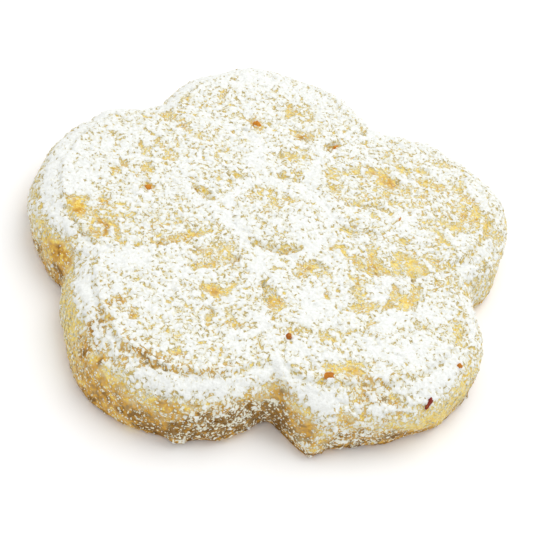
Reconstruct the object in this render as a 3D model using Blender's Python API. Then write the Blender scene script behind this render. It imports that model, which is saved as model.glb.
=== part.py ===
"""Nut kahk: a five-lobed biscuit, stamped in a carved mould and baked.

The underside lies flat on z = 0, +Z is up and -Y is the front. Sizes are in millimetres
up to the point where a mesh is made; directions are in degrees, anticlockwise from +X.
"""
import math

import bmesh
import bpy
from mathutils import Matrix, Vector, noise

MM = 0.001

# ---- Driving sizes (millimetres, degrees) ---------------------------------------------------

THICKNESS = 8.3          # underside to the top of the petals
PAD_RISE = 0.8           # the stamped petals stand this far above the rim

# Five lobes: direction of the lobe, distance of its centre, its radius.
LOBES = (
    (103.4, 15.4, 15.6),
    (174.9, 14.2, 16.5),
    (246.1, 17.0, 14.5),
    (317.2, 13.4, 17.2),
    (30.0, 18.0, 13.9),
)
NOTCH_SOFTNESS = 0.9     # how far neighbouring lobes run into each other at a notch

# Swells and dents of a hand-pressed edge: direction, half width in degrees, how far out.
EDGE_SWELLS = (
    (12, 8, -0.5), (26, 10, 0.4), (60, 9, 0.5), (84, 8, 0.3), (108, 9, 0.5), (122, 4, 0.4),
    (132, 8, 0.4), (145, 8, -0.5), (155, 7, 1.0), (158, 4, -0.4), (204, 8, 0.2), (216, 8, 0.6),
    (228, 8, -0.4), (276, 7, -0.5), (289, 6, 0.6), (301, 8, -0.5), (336, 8, 0.3), (350, 8, -0.6),
)
# The same at the foot alone, where dough crept out under the press.
FOOT_SWELLS = (
    (3, 6, 0.8), (240, 9, 0.4), (261, 2.2, 0.5), (271, 4.5, 0.5), (280.5, 3, -0.7),
    (289, 3.2, 1.2), (312, 5, -0.6),
)

FOOT_TUCK = 0.9          # the foot draws in under the belly
FOOT_HEIGHT = 2.2
SHOULDER_START = 3.0     # height at which the wall begins to round over
SHOULDER_WIDTH = 3.4     # how far in the rounding reaches

STEP_WIDTH = 0.9         # run of the step from the rim up to the petals

BUTTON_RADIUS = 5.2      # raised button in the middle
BUTTON_CROWN = 0.25      # its middle stands a little proud
RING_RADIUS = 6.3        # sunk ring round it
RING_HALF_WIDTH = 0.85
RING_DEPTH = 0.9

# Five inner petals round the button: direction, distance, half length, half width.
INNER_PETALS = (
    (88, 10.2, 4.0, 2.4),
    (17, 11.8, 4.6, 2.3),
    (303, 11.0, 4.4, 2.8),
    (234, 11.0, 4.4, 2.5),
    (160, 10.0, 4.0, 2.6),
)
OUTLINE_HALF_WIDTH = 0.65   # of the groove round each inner petal
OUTLINE_DEPTH = 0.55

# Creases between the big petals: direction and distance at the inner end, then at the notch.
CREASES = (
    (76, 14.0, 65, 22.8),
    (107, 11.5, 138, 23.6),
    (228, 7.5, 212, 23.0),
    (267, 8.0, 281, 23.6),
    (320, 7.5, 357, 23.4),
)
CREASE_HALF_WIDTH = 0.8
CREASE_DEPTH = 0.6

# Flutes pressed across each big petal, fanning out from the button.
FLUTE_TURN = 17.0        # between neighbouring flutes
FLUTE_HALF_WIDTH = 0.8
FLUTE_DEPTH = 0.22
FLUTE_START = 16.0
FLUTE_END = 24.0

# Uneven crumb: size of the lumps and how far they stand up or sink.
LUMP_SIZE = 3.4
LUMP_HEIGHT = 0.17
WALL_LUMP = 0.28

# Chopped nuts that show: place on the top (x, y), half length, half width, turn.
NUT_BITS = (
    (9.5, -22.5, 0.60, 0.42, 10),
    (20.8, -21.0, 0.85, 0.36, 80),
    (23.7, -15.5, 0.34, 0.30, 20),
    (4.3, -18.4, 0.42, 0.34, 70),
    (-5.7, 16.0, 0.52, 0.34, 140),
    (5.1, 15.9, 0.46, 0.30, 50),
    (-16.3, -0.5, 0.46, 0.34, 0),
    (14.6, 4.7, 0.46, 0.28, 85),
)
NUT_DEPTH = 0.36         # half thickness of a bit
NUT_SINK = 0.12          # how far its middle lies under the crust

# Fineness of the faceted solid.
RINGS = 28               # rings of points across the top, with six more points on each
SHOULDER_ROWS = 5
BELLY_ROWS = 1
FOOT_ROWS = 3

CRUST_COLOUR = (0.80, 0.55, 0.22, 1.0)


# ---- The shape, as formulas -----------------------------------------------------------------

def turn_between(a, b):
    """Signed turn in degrees from direction b to direction a, between -180 and 180."""
    return (a - b + 180.0) % 360.0 - 180.0


def smooth_step(value, start, end):
    """0 before start, 1 after end, and a smooth rise between them."""
    t = min(max((value - start) / (end - start), 0.0), 1.0)
    return t * t * (3.0 - 2.0 * t)


def hump(value, half_width):
    """1 at zero, falling smoothly to nothing at about twice the half width."""
    return math.exp(-(value / half_width) ** 2)


def swell(direction, swells):
    return sum(out * hump(turn_between(direction, at), half) for at, half, out in swells)


def lobe_reach(direction, lobe):
    """How far a ray from the middle travels before it leaves one lobe's circle."""
    at, distance, radius = lobe
    turn = math.radians(turn_between(direction, at))
    aside = distance * math.sin(turn)
    if abs(aside) >= radius or abs(turn) > math.pi / 2:
        return 0.0
    return distance * math.cos(turn) + math.sqrt(radius ** 2 - aside ** 2)


def reach(direction):
    """Distance from the middle of the stamp to the belly of the wall."""
    reaches = [lobe_reach(direction, lobe) for lobe in LOBES]
    farthest = max(reaches)
    blend = sum(math.exp((r - farthest) / NOTCH_SOFTNESS) for r in reaches)
    return farthest + NOTCH_SOFTNESS * math.log(blend) + swell(direction, EDGE_SWELLS)


def lumps(x, y, z, size=LUMP_SIZE):
    return noise.noise(Vector((x, y, z)) / size)


def inner_petal_groove(x, y):
    """0 to 1: the groove that outlines the inner petals."""
    deepest = 0.0
    for at, distance, half_length, half_width in INNER_PETALS:
        a = math.radians(at)
        along = x * math.cos(a) + y * math.sin(a) - distance
        aside = -x * math.sin(a) + y * math.cos(a)
        width = half_width * (1.0 + 0.18 * along / half_length)
        oval = math.hypot(along / half_length, aside / width)
        off_edge = (oval - 1.0) * 0.5 * (half_length + half_width)
        deepest = max(deepest, hump(off_edge, OUTLINE_HALF_WIDTH))
    return deepest


def crease(x, y):
    """0 to 1: the creases that run from the inner petals out to the notches."""
    distance = math.hypot(x, y)
    direction = math.degrees(math.atan2(y, x))
    deepest = 0.0
    for at_start, start, at_end, end in CREASES:
        t = (distance - start) / (end - start)
        at = at_start + turn_between(at_end, at_start) * min(max(t, 0.0), 1.2)
        aside = distance * math.radians(turn_between(direction, at))
        fade = smooth_step(t, -0.12, 0.08)
        deepest = max(deepest, fade * hump(aside, CREASE_HALF_WIDTH))
    return deepest


def flutes(x, y):
    """0 to 1: shallow flutes across the big petals, either side of each lobe's middle."""
    distance = math.hypot(x, y)
    direction = math.degrees(math.atan2(y, x))
    span = smooth_step(distance, FLUTE_START - 1.5, FLUTE_START) * (
        1.0 - smooth_step(distance, FLUTE_END - 1.5, FLUTE_END))
    middles = (at + side * FLUTE_TURN for at, _, _ in LOBES for side in (-0.5, 0.5))
    nearest = min(abs(turn_between(direction, middle)) for middle in middles)
    return span * hump(distance * math.radians(nearest), FLUTE_HALF_WIDTH)


def shoulder_height(inset):
    """Height of the rounded shoulder at a distance in from the belly."""
    t = min(max(1.0 - inset / SHOULDER_WIDTH, 0.0), 1.0)
    rise = THICKNESS - PAD_RISE - SHOULDER_START
    return SHOULDER_START + rise * math.sqrt(1.0 - t * t)


def top_height(x, y, inset):
    """Height of the stamped top, from the shoulder to the button."""
    step_start = SHOULDER_WIDTH - 0.3 * STEP_WIDTH
    petals = smooth_step(inset, step_start, step_start + STEP_WIDTH)
    from_middle = math.hypot(x, y)
    past_button = smooth_step(from_middle, BUTTON_RADIUS, RING_RADIUS)
    carved = max(
        RING_DEPTH * hump(from_middle - RING_RADIUS, RING_HALF_WIDTH),
        OUTLINE_DEPTH * inner_petal_groove(x, y) * past_button,
        CREASE_DEPTH * crease(x, y),
        FLUTE_DEPTH * flutes(x, y),
    )
    crown = BUTTON_CROWN * max(0.0, 1.0 - (from_middle / BUTTON_RADIUS) ** 2)
    relief = petals * (PAD_RISE - carved + crown)
    uneven = LUMP_HEIGHT * (lumps(x, y, 0.0) + 0.5 * lumps(x, y, 9.0, 0.5 * LUMP_SIZE))
    return shoulder_height(inset) + relief + uneven * smooth_step(inset, 0.5, 2.0)


def wall_point(direction, inset, height):
    """A point of the wall, with its swells, foot and lumps."""
    a = math.radians(direction)
    foot = 1.0 - smooth_step(height, 1.2, 4.2)
    out = reach(direction) - inset + foot * swell(direction, FOOT_SWELLS)
    rough = WALL_LUMP * lumps(out * math.cos(a), out * math.sin(a), height)
    out += rough * smooth_step(height, -0.5, 1.0)
    return Vector((out * math.cos(a), out * math.sin(a), height))


def top_point(direction, share):
    """A point of the stamped top, share of the way from the middle to the shoulder's inner edge."""
    a = math.radians(direction)
    edge = reach(direction)
    out = (edge - SHOULDER_WIDTH) * share
    x, y = out * math.cos(a), out * math.sin(a)
    return Vector((x, y, top_height(x, y, edge - out)))


# ---- The solid ------------------------------------------------------------------------------

def wall_rows(direction):
    """Points down the wall at one direction, from under the shoulder's inner edge to the foot."""
    points = []
    for row in range(1, SHOULDER_ROWS + 1):
        t = row / SHOULDER_ROWS
        angle = t * math.pi / 2
        inset = SHOULDER_WIDTH * (1.0 - math.sin(angle))
        height = SHOULDER_START + (THICKNESS - PAD_RISE - SHOULDER_START) * math.cos(angle)
        points.append(wall_point(direction, inset, height))
    for row in range(1, BELLY_ROWS + 1):
        t = row / BELLY_ROWS
        points.append(wall_point(direction, 0.0, SHOULDER_START + (FOOT_HEIGHT - SHOULDER_START) * t))
    for row in range(1, FOOT_ROWS + 1):
        angle = row / FOOT_ROWS * math.pi / 2
        inset = FOOT_TUCK * (1.0 - math.cos(angle))
        points.append(wall_point(direction, inset, FOOT_HEIGHT * (1.0 - math.sin(angle))))
    return points


def bridge_rings(mesh, inner, outer):
    """Faces between two closed rings of points; the outer has as many points or six more."""
    i = j = 0
    while i < len(inner) or j < len(outer):
        step_outer = j / len(outer) <= i / len(inner) if j < len(outer) else False
        a = inner[i % len(inner)]
        b = outer[j % len(outer)]
        if step_outer or i == len(inner):
            mesh.faces.new((a, b, outer[(j + 1) % len(outer)]))
            j += 1
        else:
            mesh.faces.new((a, b, inner[(i + 1) % len(inner)]))
            i += 1


def build_biscuit():
    """One closed body: stamped top, rounded wall and flat underside."""
    mesh = bmesh.new()
    ring = [mesh.verts.new(top_point(0.0, 0.0) * MM)]
    for k in range(1, RINGS + 1):
        count = 6 * k
        points = [mesh.verts.new(top_point(360.0 * n / count, k / RINGS) * MM) for n in range(count)]
        if k == 1:
            for n in range(count):
                mesh.faces.new((ring[0], points[n], points[(n + 1) % count]))
        else:
            bridge_rings(mesh, ring, points)
        ring = points
    columns = [wall_rows(360.0 * n / len(ring)) for n in range(len(ring))]
    for row in zip(*columns):
        below = [mesh.verts.new(point * MM) for point in row]
        for n, (upper, lower) in enumerate(zip(ring, below)):
            m = (n + 1) % len(ring)
            mesh.faces.new((upper, lower, below[m], ring[m]))
        ring = below
    for vert in ring:
        vert.co.z = 0.0
    middle = mesh.verts.new((0.0, 0.0, 0.0))
    for n, vert in enumerate(ring):
        mesh.faces.new((middle, ring[(n + 1) % len(ring)], vert))
    bmesh.ops.triangulate(mesh, faces=mesh.faces[:])
    return make_object("kahk", mesh)


def height_at(x, y):
    """Height of the top above a place in plan."""
    direction = math.degrees(math.atan2(y, x))
    return top_height(x, y, reach(direction) - math.hypot(x, y))


def slope_at(x, y):
    """The way the top faces at a place in plan."""
    rise_x = height_at(x + 0.5, y) - height_at(x - 0.5, y)
    rise_y = height_at(x, y + 0.5) - height_at(x, y - 0.5)
    return Vector((-rise_x, -rise_y, 1.0)).normalized()


def build_nut_bit(index, x, y, half_length, half_width, turn):
    """A chopped bit of nut: a chunky, uneven pebble lying half sunk along the crust."""
    mesh = bmesh.new()
    bmesh.ops.create_icosphere(mesh, subdivisions=1, radius=1.0)
    for vert in mesh.verts:
        vert.co *= 1.0 + 0.25 * noise.noise(vert.co * 1.7 + Vector((3.1 * index, 0.0, 0.0)))
    slope = slope_at(x, y)
    place = Matrix.Translation((Vector((x, y, height_at(x, y))) - NUT_SINK * slope) * MM)
    lean = Vector((0.0, 0.0, 1.0)).rotation_difference(slope).to_matrix().to_4x4()
    size = Matrix.Diagonal((half_length * MM, half_width * MM, NUT_DEPTH * MM, 1.0))
    mesh.transform(place @ lean @ Matrix.Rotation(math.radians(turn), 4, "Z") @ size)
    return make_object(f"nut_bit_{index}", mesh)


def make_object(name, mesh):
    data = bpy.data.meshes.new(name)
    mesh.to_mesh(data)
    mesh.free()
    item = bpy.data.objects.new(name, data)
    bpy.context.scene.collection.objects.link(item)
    return item


def fuse(body, bits):
    """One Boolean union of the body with all the bits, applied; the bits are then removed."""
    group = bpy.data.collections.new("nut_bits")
    bpy.context.scene.collection.children.link(group)
    for bit in bits:
        bpy.context.scene.collection.objects.unlink(bit)
        group.objects.link(bit)
    union = body.modifiers.new("fuse", "BOOLEAN")
    union.operation = "UNION"
    union.operand_type = "COLLECTION"
    union.collection = group
    union.solver = "EXACT"
    fused = bpy.data.meshes.new_from_object(body.evaluated_get(bpy.context.evaluated_depsgraph_get()))
    body.modifiers.remove(union)
    body.data = fused
    for bit in list(group.objects):
        bpy.data.objects.remove(bit)
    bpy.data.collections.remove(group)


def centre_on_origin(body):
    """Puts the middle of the biscuit's own box over the origin, underside on z = 0."""
    xs = [vert.co.x for vert in body.data.vertices]
    ys = [vert.co.y for vert in body.data.vertices]
    middle = Vector(((min(xs) + max(xs)) / 2, (min(ys) + max(ys)) / 2, 0.0))
    body.data.transform(Matrix.Translation(-middle))


def baked_crust():
    """Golden shortbread crust: dry, with hardly any shine."""
    material = bpy.data.materials.new("baked_crust")
    material.use_nodes = True
    shader = material.node_tree.nodes["Principled BSDF"]
    shader.inputs["Base Color"].default_value = CRUST_COLOUR
    shader.inputs["Roughness"].default_value = 0.85
    shader.inputs["Metallic"].default_value = 0.0
    return material


def main():
    for item in list(bpy.data.objects):
        bpy.data.objects.remove(item)
    body = build_biscuit()
    bits = [build_nut_bit(index, *bit) for index, bit in enumerate(NUT_BITS)]
    fuse(body, bits)
    body.name = "kahk"
    centre_on_origin(body)
    body.data.materials.clear()
    body.data.materials.append(baked_crust())
    body.data.shade_smooth()
    body.data.set_sharp_from_angle(angle=math.radians(50))


main()
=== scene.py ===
"""Nut kahk: a five-lobed stamped biscuit under sieved icing sugar, dressed around its CAD solid.

Formulas work in millimetres and degrees, in the stamp's own frame: the middle of the stamp is
the origin, the underside lies on z = 0 and -Y is the front. Settings and meshes are in metres.
"""
import math

import bmesh
import bpy
import numpy as np
from mathutils import Matrix, Vector, noise


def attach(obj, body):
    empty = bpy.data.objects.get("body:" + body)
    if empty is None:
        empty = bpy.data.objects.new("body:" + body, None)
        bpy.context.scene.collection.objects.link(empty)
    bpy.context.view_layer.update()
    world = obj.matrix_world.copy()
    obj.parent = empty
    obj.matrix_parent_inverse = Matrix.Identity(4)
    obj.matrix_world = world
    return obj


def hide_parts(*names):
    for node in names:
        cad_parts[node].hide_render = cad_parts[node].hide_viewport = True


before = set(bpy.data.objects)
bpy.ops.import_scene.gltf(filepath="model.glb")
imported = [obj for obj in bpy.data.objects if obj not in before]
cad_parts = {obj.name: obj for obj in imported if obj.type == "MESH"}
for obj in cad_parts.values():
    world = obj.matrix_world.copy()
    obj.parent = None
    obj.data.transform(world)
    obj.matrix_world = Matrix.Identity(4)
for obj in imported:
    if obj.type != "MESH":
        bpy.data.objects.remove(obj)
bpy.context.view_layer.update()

bl_info = {
    "name": "Nut kahk",
    "version": (1, 0, 0),
    "blender": (4, 5, 0),
    "location": "3D View > Sidebar > Kahk",
    "description": "Builds a stamped nut biscuit with its icing sugar",
    "category": "Add Mesh",
}

MM = 0.001
BODY = "root"
NODE = "kahk"

# ---- Form of the biscuit, as in the CAD solid (millimetres, degrees) --------------------------

# Five lobes, rounded from a least-squares fit to the photo's outline: direction of the lobe,
# distance of its centre, its radius.
LOBES = (
    (103.4, 15.4, 15.6),
    (174.9, 14.2, 16.5),
    (246.1, 17.0, 14.5),
    (317.2, 13.4, 17.2),
    (30.0, 18.0, 13.9),
)
NOTCH_SOFTNESS = 0.9

# Swells and dents of the hand-pressed edge: direction, half width in degrees, how far out.
# Part of the edge's started from a second such fit.
EDGE_SWELLS = (
    (12, 8, -0.5), (26, 10, 0.4), (60, 9, 0.5), (84, 8, 0.3), (108, 9, 0.5), (122, 4, 0.4),
    (132, 8, 0.4), (145, 8, -0.5), (155, 7, 1.0), (158, 4, -0.4), (204, 8, 0.2), (216, 8, 0.6),
    (228, 8, -0.4), (276, 7, -0.5), (289, 6, 0.6), (301, 8, -0.5), (336, 8, 0.3), (350, 8, -0.6),
)
FOOT_SWELLS = (
    (3, 6, 0.8), (240, 9, 0.4), (261, 2.2, 0.5), (271, 4.5, 0.5), (280.5, 3, -0.7),
    (289, 3.2, 1.2), (312, 5, -0.6),
)

STEP_WIDTH = 0.9
BUTTON_CROWN = 0.25
RING_HALF_WIDTH = 0.85

# Inner petals round the button: direction, distance, half length, half width.
INNER_PETALS = (
    (88, 10.2, 4.0, 2.4),
    (17, 11.8, 4.6, 2.3),
    (303, 11.0, 4.4, 2.8),
    (234, 11.0, 4.4, 2.5),
    (160, 10.0, 4.0, 2.6),
)
OUTLINE_HALF_WIDTH = 0.65

# Creases between the big petals: direction and distance at the inner end, then at the notch.
CREASES = (
    (76, 14.0, 65, 22.8),
    (107, 11.5, 138, 23.6),
    (228, 7.5, 212, 23.0),
    (267, 8.0, 281, 23.6),
    (320, 7.5, 357, 23.4),
)
CREASE_HALF_WIDTH = 0.8

# Flutes pressed across each big petal.
FLUTE_TURN = 17.0
FLUTE_HALF_WIDTH = 0.8
FLUTE_START = 16.0
FLUTE_END = 24.0

LUMP_SIZE = 3.4
LUMP_HEIGHT = 0.17
WALL_LUMP = 0.28
UNDERSIDE_PIT = 0.12

# Noise in layers: strength, size, and how far it is shifted along x, y and z.
CRUMB_NOISE = ((1.0, 1.5, (0, 0, 0)), (0.7, 0.75, (0, 31, 0)), (0.4, 0.42, (17, 0, 0)))
COVER_NOISE = ((1.0, 6.0, (0, 0, 60)), (0.8, 2.4, (0, 0, 80)))
CLUMP_NOISE = ((1.6, 0.62, (5, 0, 0)), (1.2, 0.34, (0, 9, 0)))

# Chopped nuts that show: place (x, y), half length, half width, turn.
NUT_BITS = (
    (9.5, -22.5, 0.60, 0.42, 10),
    (20.8, -21.0, 0.85, 0.36, 80),
    (23.7, -15.5, 0.34, 0.30, 20),
    (4.3, -18.4, 0.42, 0.34, 70),
    (-5.7, 16.0, 0.52, 0.34, 140),
    (5.1, 15.9, 0.46, 0.30, 50),
    (-16.3, -0.5, 0.46, 0.34, 0),
    (14.6, 4.7, 0.46, 0.28, 85),
)
NUT_SINK = 0.12
NUT_LIFT = 0.05          # the pale bits stand this far out of the crust
DARK_LIFT = 0.22         # and the darker ones this far
NUT_TONES = (0.35, 1.0, 0.35, 0.5, 0.1, 0.1, 0.15, 0.25)    # 0 amber flesh, 1 dark red skin

# ---- Where the icing sugar is thick or thin ---------------------------------------------------
# The rows were listed from views of the photo with a grid on them, and corrected where the render differed
# from the photo. The last column of the bare patches was rescaled twice afterwards.

# Bare patches of crust: x, y, half length, half width, turn, how bare, how toasted.
BARE_PATCHES = (
    (-21, -8, 1.8, 1.3, 150, 2, 0.1), (2.4, 12.4, 0.9, 0.7, 0, 1.6, 0.1), (9.6, 11, 1, 0.8, 0, 1.8, 0.15),
    (13.6, 10.4, 1.8, 0.8, 0, 1.8, 0.15), (18.2, 4.8, 1.6, 1, 60, 1.6, 0),
    (23, -2.2, 2.4, 1.1, 10, 2.2, 0.05), (14, -5, 2.6, 0.8, 0, 2.6, 0.2),
    (8, -10.4, 1.4, 0.8, 40, 1.4, 0.05), (11.6, -11.6, 1.6, 0.8, 20, 1.6, 0.1),
    (1.2, -14, 1.4, 1, 120, 2.8, 0.15), (-5, -14.6, 1.5, 0.9, 0, 2.8, 0.2),
    (-6.4, -8.2, 2.6, 1.3, 20, 1, 0.1), (-0.4, -5.7, 1.6, 0.7, 0, 4, 0.25),
    (4.6, -8, 1.6, 0.9, 20, 1.8, 0.1), (-13.5, -25.6, 3.8, 0.8, 155, 2.6, 0.2),
    (-17.2, -22, 2.4, 1, 130, 0.9, 0.25), (-19, -6, 3, 1.6, 160, 1.6, 0.15),
    (-12, -8.6, 3.4, 1.5, 10, 1.1, 0.1), (-5.8, -8.2, 2.6, 2.4, 0, 1.8, 0.15),
    (12, -5, 1.6, 1.2, 0, 2.4, 0.15), (15.8, -3.6, 1.6, 1.2, 0, 2, 0.05),
    (4.8, -7.2, 2, 1.2, 30, 1.6, 0.05), (21.5, -4, 3, 1.3, 10, 1.6, 0.05),
    (16, -9.2, 1.6, 1.2, 45, 1.8, 0.05), (22, 11, 2.4, 2.4, 0, 0.8, 0.05),
    (16.5, 7.5, 4.5, 2, 10, 1.2, 0.05), (9.6, 7.6, 3, 1.6, 20, 1.1, 0.05),
    (13.5, 2.2, 2.4, 1.4, 0, 0.9, 0.05), (14.8, -22.6, 2.6, 1, 15, 1.2, 0.3),
    (-18, -23, 2, 0.8, 130, 0.9, 0.2), (26, 8, 1.6, 3, 0, 0.5, 0), (20.5, -22, 2, 1, 40, 1, 0.05),
    (2.6, -16.2, 1.6, 1.6, 0, 1.2, 0.05), (-2, 20.2, 2, 1.2, 0, 1, 0.05), (1.6, 11.4, 1.5, 2, 0, 1, 0.05),
    (12, 6.6, 3, 1.5, 0, 0.9, 0.05), (22.6, 8, 1.6, 3.2, 0, 1.2, 0.05), (7.6, 0.4, 2, 1.2, 0, 0.8, 0.05),
    (-9.4, 1, 1.5, 1, 0, 1, 0.1), (-16, 6, 1.6, 1.5, 0, 0.6, 0.1), (-19.4, -12.4, 1, 3, 0, 0.9, 0.1),
    (-3.6, -9.6, 1.6, 1, 0, 0.9, 0.1), (5.6, -17.6, 2.2, 1.5, 0, 0.7, 0.05),
    (18.2, -12.4, 2, 1.2, 0, 0.7, 0.05), (20.2, -1.2, 1.6, 1, 0, 0.8, 0.1),
    (12, -6.7, 1.2, 0.8, 0, 0.8, 0.1), (19, 17, 1.2, 1, 0, 0.8, 0.05), (-1.4, 19, 1.3, 1.1, 0, 0.8, 0.05),
    (-10, -12.4, 5, 2, 0, 0.4, 0.05), (-6, -18.2, 6, 2.6, 0, 0.5, 0.05), (20, 1.2, 2, 1.6, 0, 0.5, 0),
    (-23.2, -6.5, 1.6, 0.95, 107, 9, 0.15), (-22.9, -7.1, 0.5, 0.4, 0, 4, 0.5),
    (-20.9, -4.7, 0.7, 0.5, 120, 4, 0.25), (-19.3, -8.2, 1.2, 0.5, 160, 6, 0.6),
    (-19, -9.4, 0.9, 0.3, 100, 5, 0.6), (-20.3, -9.9, 0.9, 0.6, 150, 3.5, 0.45),
    (-17.4, -9.8, 1.4, 0.35, 115, 4.5, 0.4), (-15.2, -10.1, 0.7, 0.4, 10, 4.5, 0.3),
    (-16.3, -0.5, 1, 0.8, 0, 3.4, 0.45), (-9.3, -6.6, 1.7, 0.4, 38, 6, 0.25),
    (-12.6, -9, 0.9, 0.5, 20, 4, 0.25), (-11, -8.1, 0.8, 0.3, 10, 4, 0.3),
    (-13, -6.2, 2, 1.6, 30, 0.8, 0.15), (-11.5, -4.6, 1.2, 0.25, 125, 3.4, 0.2),
    (-5.9, -10.2, 0.8, 0.6, 30, 4.4, 0.2), (-7.2, -11, 1.4, 0.35, 25, 4.4, 0.2),
    (-3.8, -8.7, 0.6, 0.5, 0, 4, 0.4), (-4.9, -6.8, 0.7, 0.5, 0, 1.2, 0.15),
    (-5, -14.2, 1, 0.6, 0, 6, 0.2), (-3.2, -13.2, 1.1, 0.3, 60, 4.4, 0.2),
    (-4.9, -18.1, 0.9, 0.5, 90, 3.6, 0.05), (-2.6, -17.9, 0.7, 0.6, 0, 3.6, 0.2),
    (-3, -16.5, 0.6, 0.35, 60, 3.2, 0.2), (-1.4, -18.4, 0.8, 0.5, 30, 3.2, 0.25),
    (-7, -24.2, 0.5, 0.5, 0, 5, 0.6), (-7.5, -22, 0.8, 0.6, 0, 2.6, 0.3),
    (-12.8, -20.6, 0.9, 0.5, 90, 3.4, 0.6), (-14.4, -19, 1.4, 0.8, 0, 1.8, 0.6),
    (-14.7, -26.2, 0.8, 0.5, 20, 5, 0.6), (-16.7, -24.9, 0.6, 0.6, 0, 4, 0.6),
    (-16.4, -22.6, 0.9, 0.9, 0, 2.4, 0.6), (2.9, -5, 1, 0.35, 38, 5, 0.25),
    (1.9, -5.1, 1.4, 0.6, 35, 3.4, 0.2), (1.9, -5.9, 0.6, 0.25, 0, 3.6, 0.25),
    (-1.6, -5.4, 0.8, 0.8, 0, 2.2, 0.2), (5, -6.9, 1.5, 0.6, 42, 5, 0.05),
    (6.9, -7.2, 0.7, 0.5, 90, 3.4, 0.05), (1.2, -8.8, 0.7, 0.3, 45, 3.4, 0.25),
    (0.7, -12.2, 2.2, 0.6, 120, 3.2, 0.1), (2, -13.8, 1.2, 0.6, 0, 5.5, 0.15),
    (11.2, -9.2, 1.9, 0.8, 112, 4, 0.05), (10.8, -11.8, 0.8, 0.35, 20, 4, 0.2),
    (13.5, -10.6, 1.1, 0.5, 20, 3.4, 0.05), (9.4, -12.5, 0.6, 0.3, 20, 3.4, 0.2),
    (12.1, -3.4, 2, 0.6, 100, 4.6, 0.15), (10.9, -4.8, 0.8, 0.3, 130, 4.4, 0.25),
    (9.7, -4.1, 0.7, 0.35, 0, 3.8, 0.3), (16.2, -1.8, 1.2, 0.9, 0, 4.6, 0.05),
    (15, -3.1, 1.1, 0.6, 90, 5, 0.05), (17.5, -3.6, 1.2, 1.1, 0, 5, 0.15),
    (18.9, -1, 1.2, 0.4, 152, 4.6, 0.3), (8, -2.8, 1.1, 0.5, 0, 3, 0),
    (15.3, -8, 1.3, 0.5, 90, 4.4, 0.25), (17, -8.7, 1.2, 0.7, 60, 5, 0.2),
    (17.8, -6.8, 0.8, 0.5, 90, 3.6, 0.2), (14.9, -10, 0.7, 0.4, 0, 4.4, 0.25),
    (18.6, -12, 1.1, 0.7, 0, 3, 0), (12.8, -14, 1.8, 0.25, 72, 4, 0.2),
    (10.8, -15.4, 0.8, 0.25, 60, 3.4, 0.25), (8.3, -17.1, 0.9, 0.5, 0, 3.4, 0.15),
    (10.1, -16.7, 0.8, 0.3, 90, 3.4, 0.25), (9.3, -21.2, 1.4, 0.5, 10, 3.4, 0.05),
    (11.6, -20.6, 1.8, 0.9, 10, 5, 0.05), (13.4, -23.4, 1.6, 0.7, 0, 3.6, 0.25),
    (15.9, -22.6, 1, 0.7, 0, 4.4, 0.42), (-15.9, -21.2, 1.6, 0.6, 125, 1.4, 0.05),
    (-14.6, -22.6, 0.8, 0.5, 130, 2, 0.12), (-11.8, -24.7, 1.8, 0.5, 155, 1.4, 0.05),
    (-8.5, -25.5, 2, 0.5, 175, 1.6, 0.08), (-10.2, -25.2, 0.6, 0.4, 0, 2.2, 0.2),
    (17.5, -22.4, 0.7, 0.5, 0, 3.8, 0.4), (24, -17.9, 0.6, 0.6, 0, 4.4, 0.2),
    (23.2, -11.4, 1.5, 0.8, 90, 2.6, 0), (24.8, -12.5, 3, 0.9, 90, 2.6, 0),
    (24, -4, 0.9, 0.8, 0, 3.6, 0.3), (-20.9, 0.9, 0.7, 0.35, 10, 4, 0.45),
    (-20.2, 2.3, 0.7, 0.4, 130, 4, 0.4), (-17.3, 2.9, 1.1, 0.5, 90, 4, 0.25),
    (-10, 1, 1.9, 0.45, 152, 5, 0.45), (-8.4, 3.9, 0.9, 0.35, 90, 3.4, 0.2),
    (-6.8, 4, 1.1, 0.3, 100, 3.4, 0.2), (-6, 5.2, 0.5, 0.4, 0, 4, 0.2),
    (-9.3, 7.6, 1.3, 0.3, 90, 3.2, 0.2), (-8.8, 9.1, 0.8, 0.3, 0, 3.4, 0.2),
    (-9.2, 10.3, 0.5, 0.5, 0, 3, 0.2), (-14.7, 5.4, 0.9, 0.3, 20, 4, 0.25),
    (-16, 6.7, 1, 0.3, 120, 3.6, 0.2), (-17.2, 8.1, 0.9, 0.4, 105, 3.6, 0.25),
    (-12.5, 10.7, 0.6, 0.5, 90, 3.6, 0.25), (-14.8, 12.4, 0.9, 0.5, 110, 6, 0.6),
    (-14, 11.7, 0.7, 0.3, 120, 3.6, 0.4), (-17.4, 13.5, 0.9, 0.6, 90, 6, 0.2),
    (-18.8, 13, 0.7, 0.5, 0, 3.4, 0.2), (-16.1, 15.4, 0.8, 0.4, 100, 4, 0.25),
    (-15.5, 18, 1, 0.5, 110, 4.6, 0.05), (-11.3, 19.6, 1.5, 0.35, 95, 3.4, 0.2),
    (-9.2, 18.5, 0.9, 0.3, 0, 3.4, 0.15), (-8.4, 16.6, 0.9, 0.3, 170, 3.4, 0.25),
    (-6, 15.9, 1.2, 0.7, 140, 4.4, 0.6), (-2, 20.4, 1.7, 0.5, 90, 4, 0.15),
    (-0.8, 21.6, 1.1, 0.6, 90, 1.8, 0.1), (-0.9, 11.3, 1, 0.8, 0, 4.4, 0),
    (-0.8, 7.3, 0.9, 0.6, 90, 4.4, 0.05), (-2.4, 3.9, 1.2, 0.8, 0, 3.6, 0.15),
    (-3.9, 2.4, 0.9, 0.5, 100, 3.4, 0.2), (-1, 1.8, 1, 0.5, 90, 3, 0.15),
    (-18.5, 5.8, 1.6, 0.5, 110, 2.8, 0), (-21.8, 6, 1.2, 0.5, 90, 2.8, 0),
    (-23.4, 10.8, 1.1, 0.4, 150, 2.8, 0), (0.4, 15.9, 1.4, 0.9, 0, 5.6, 0.6),
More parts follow.
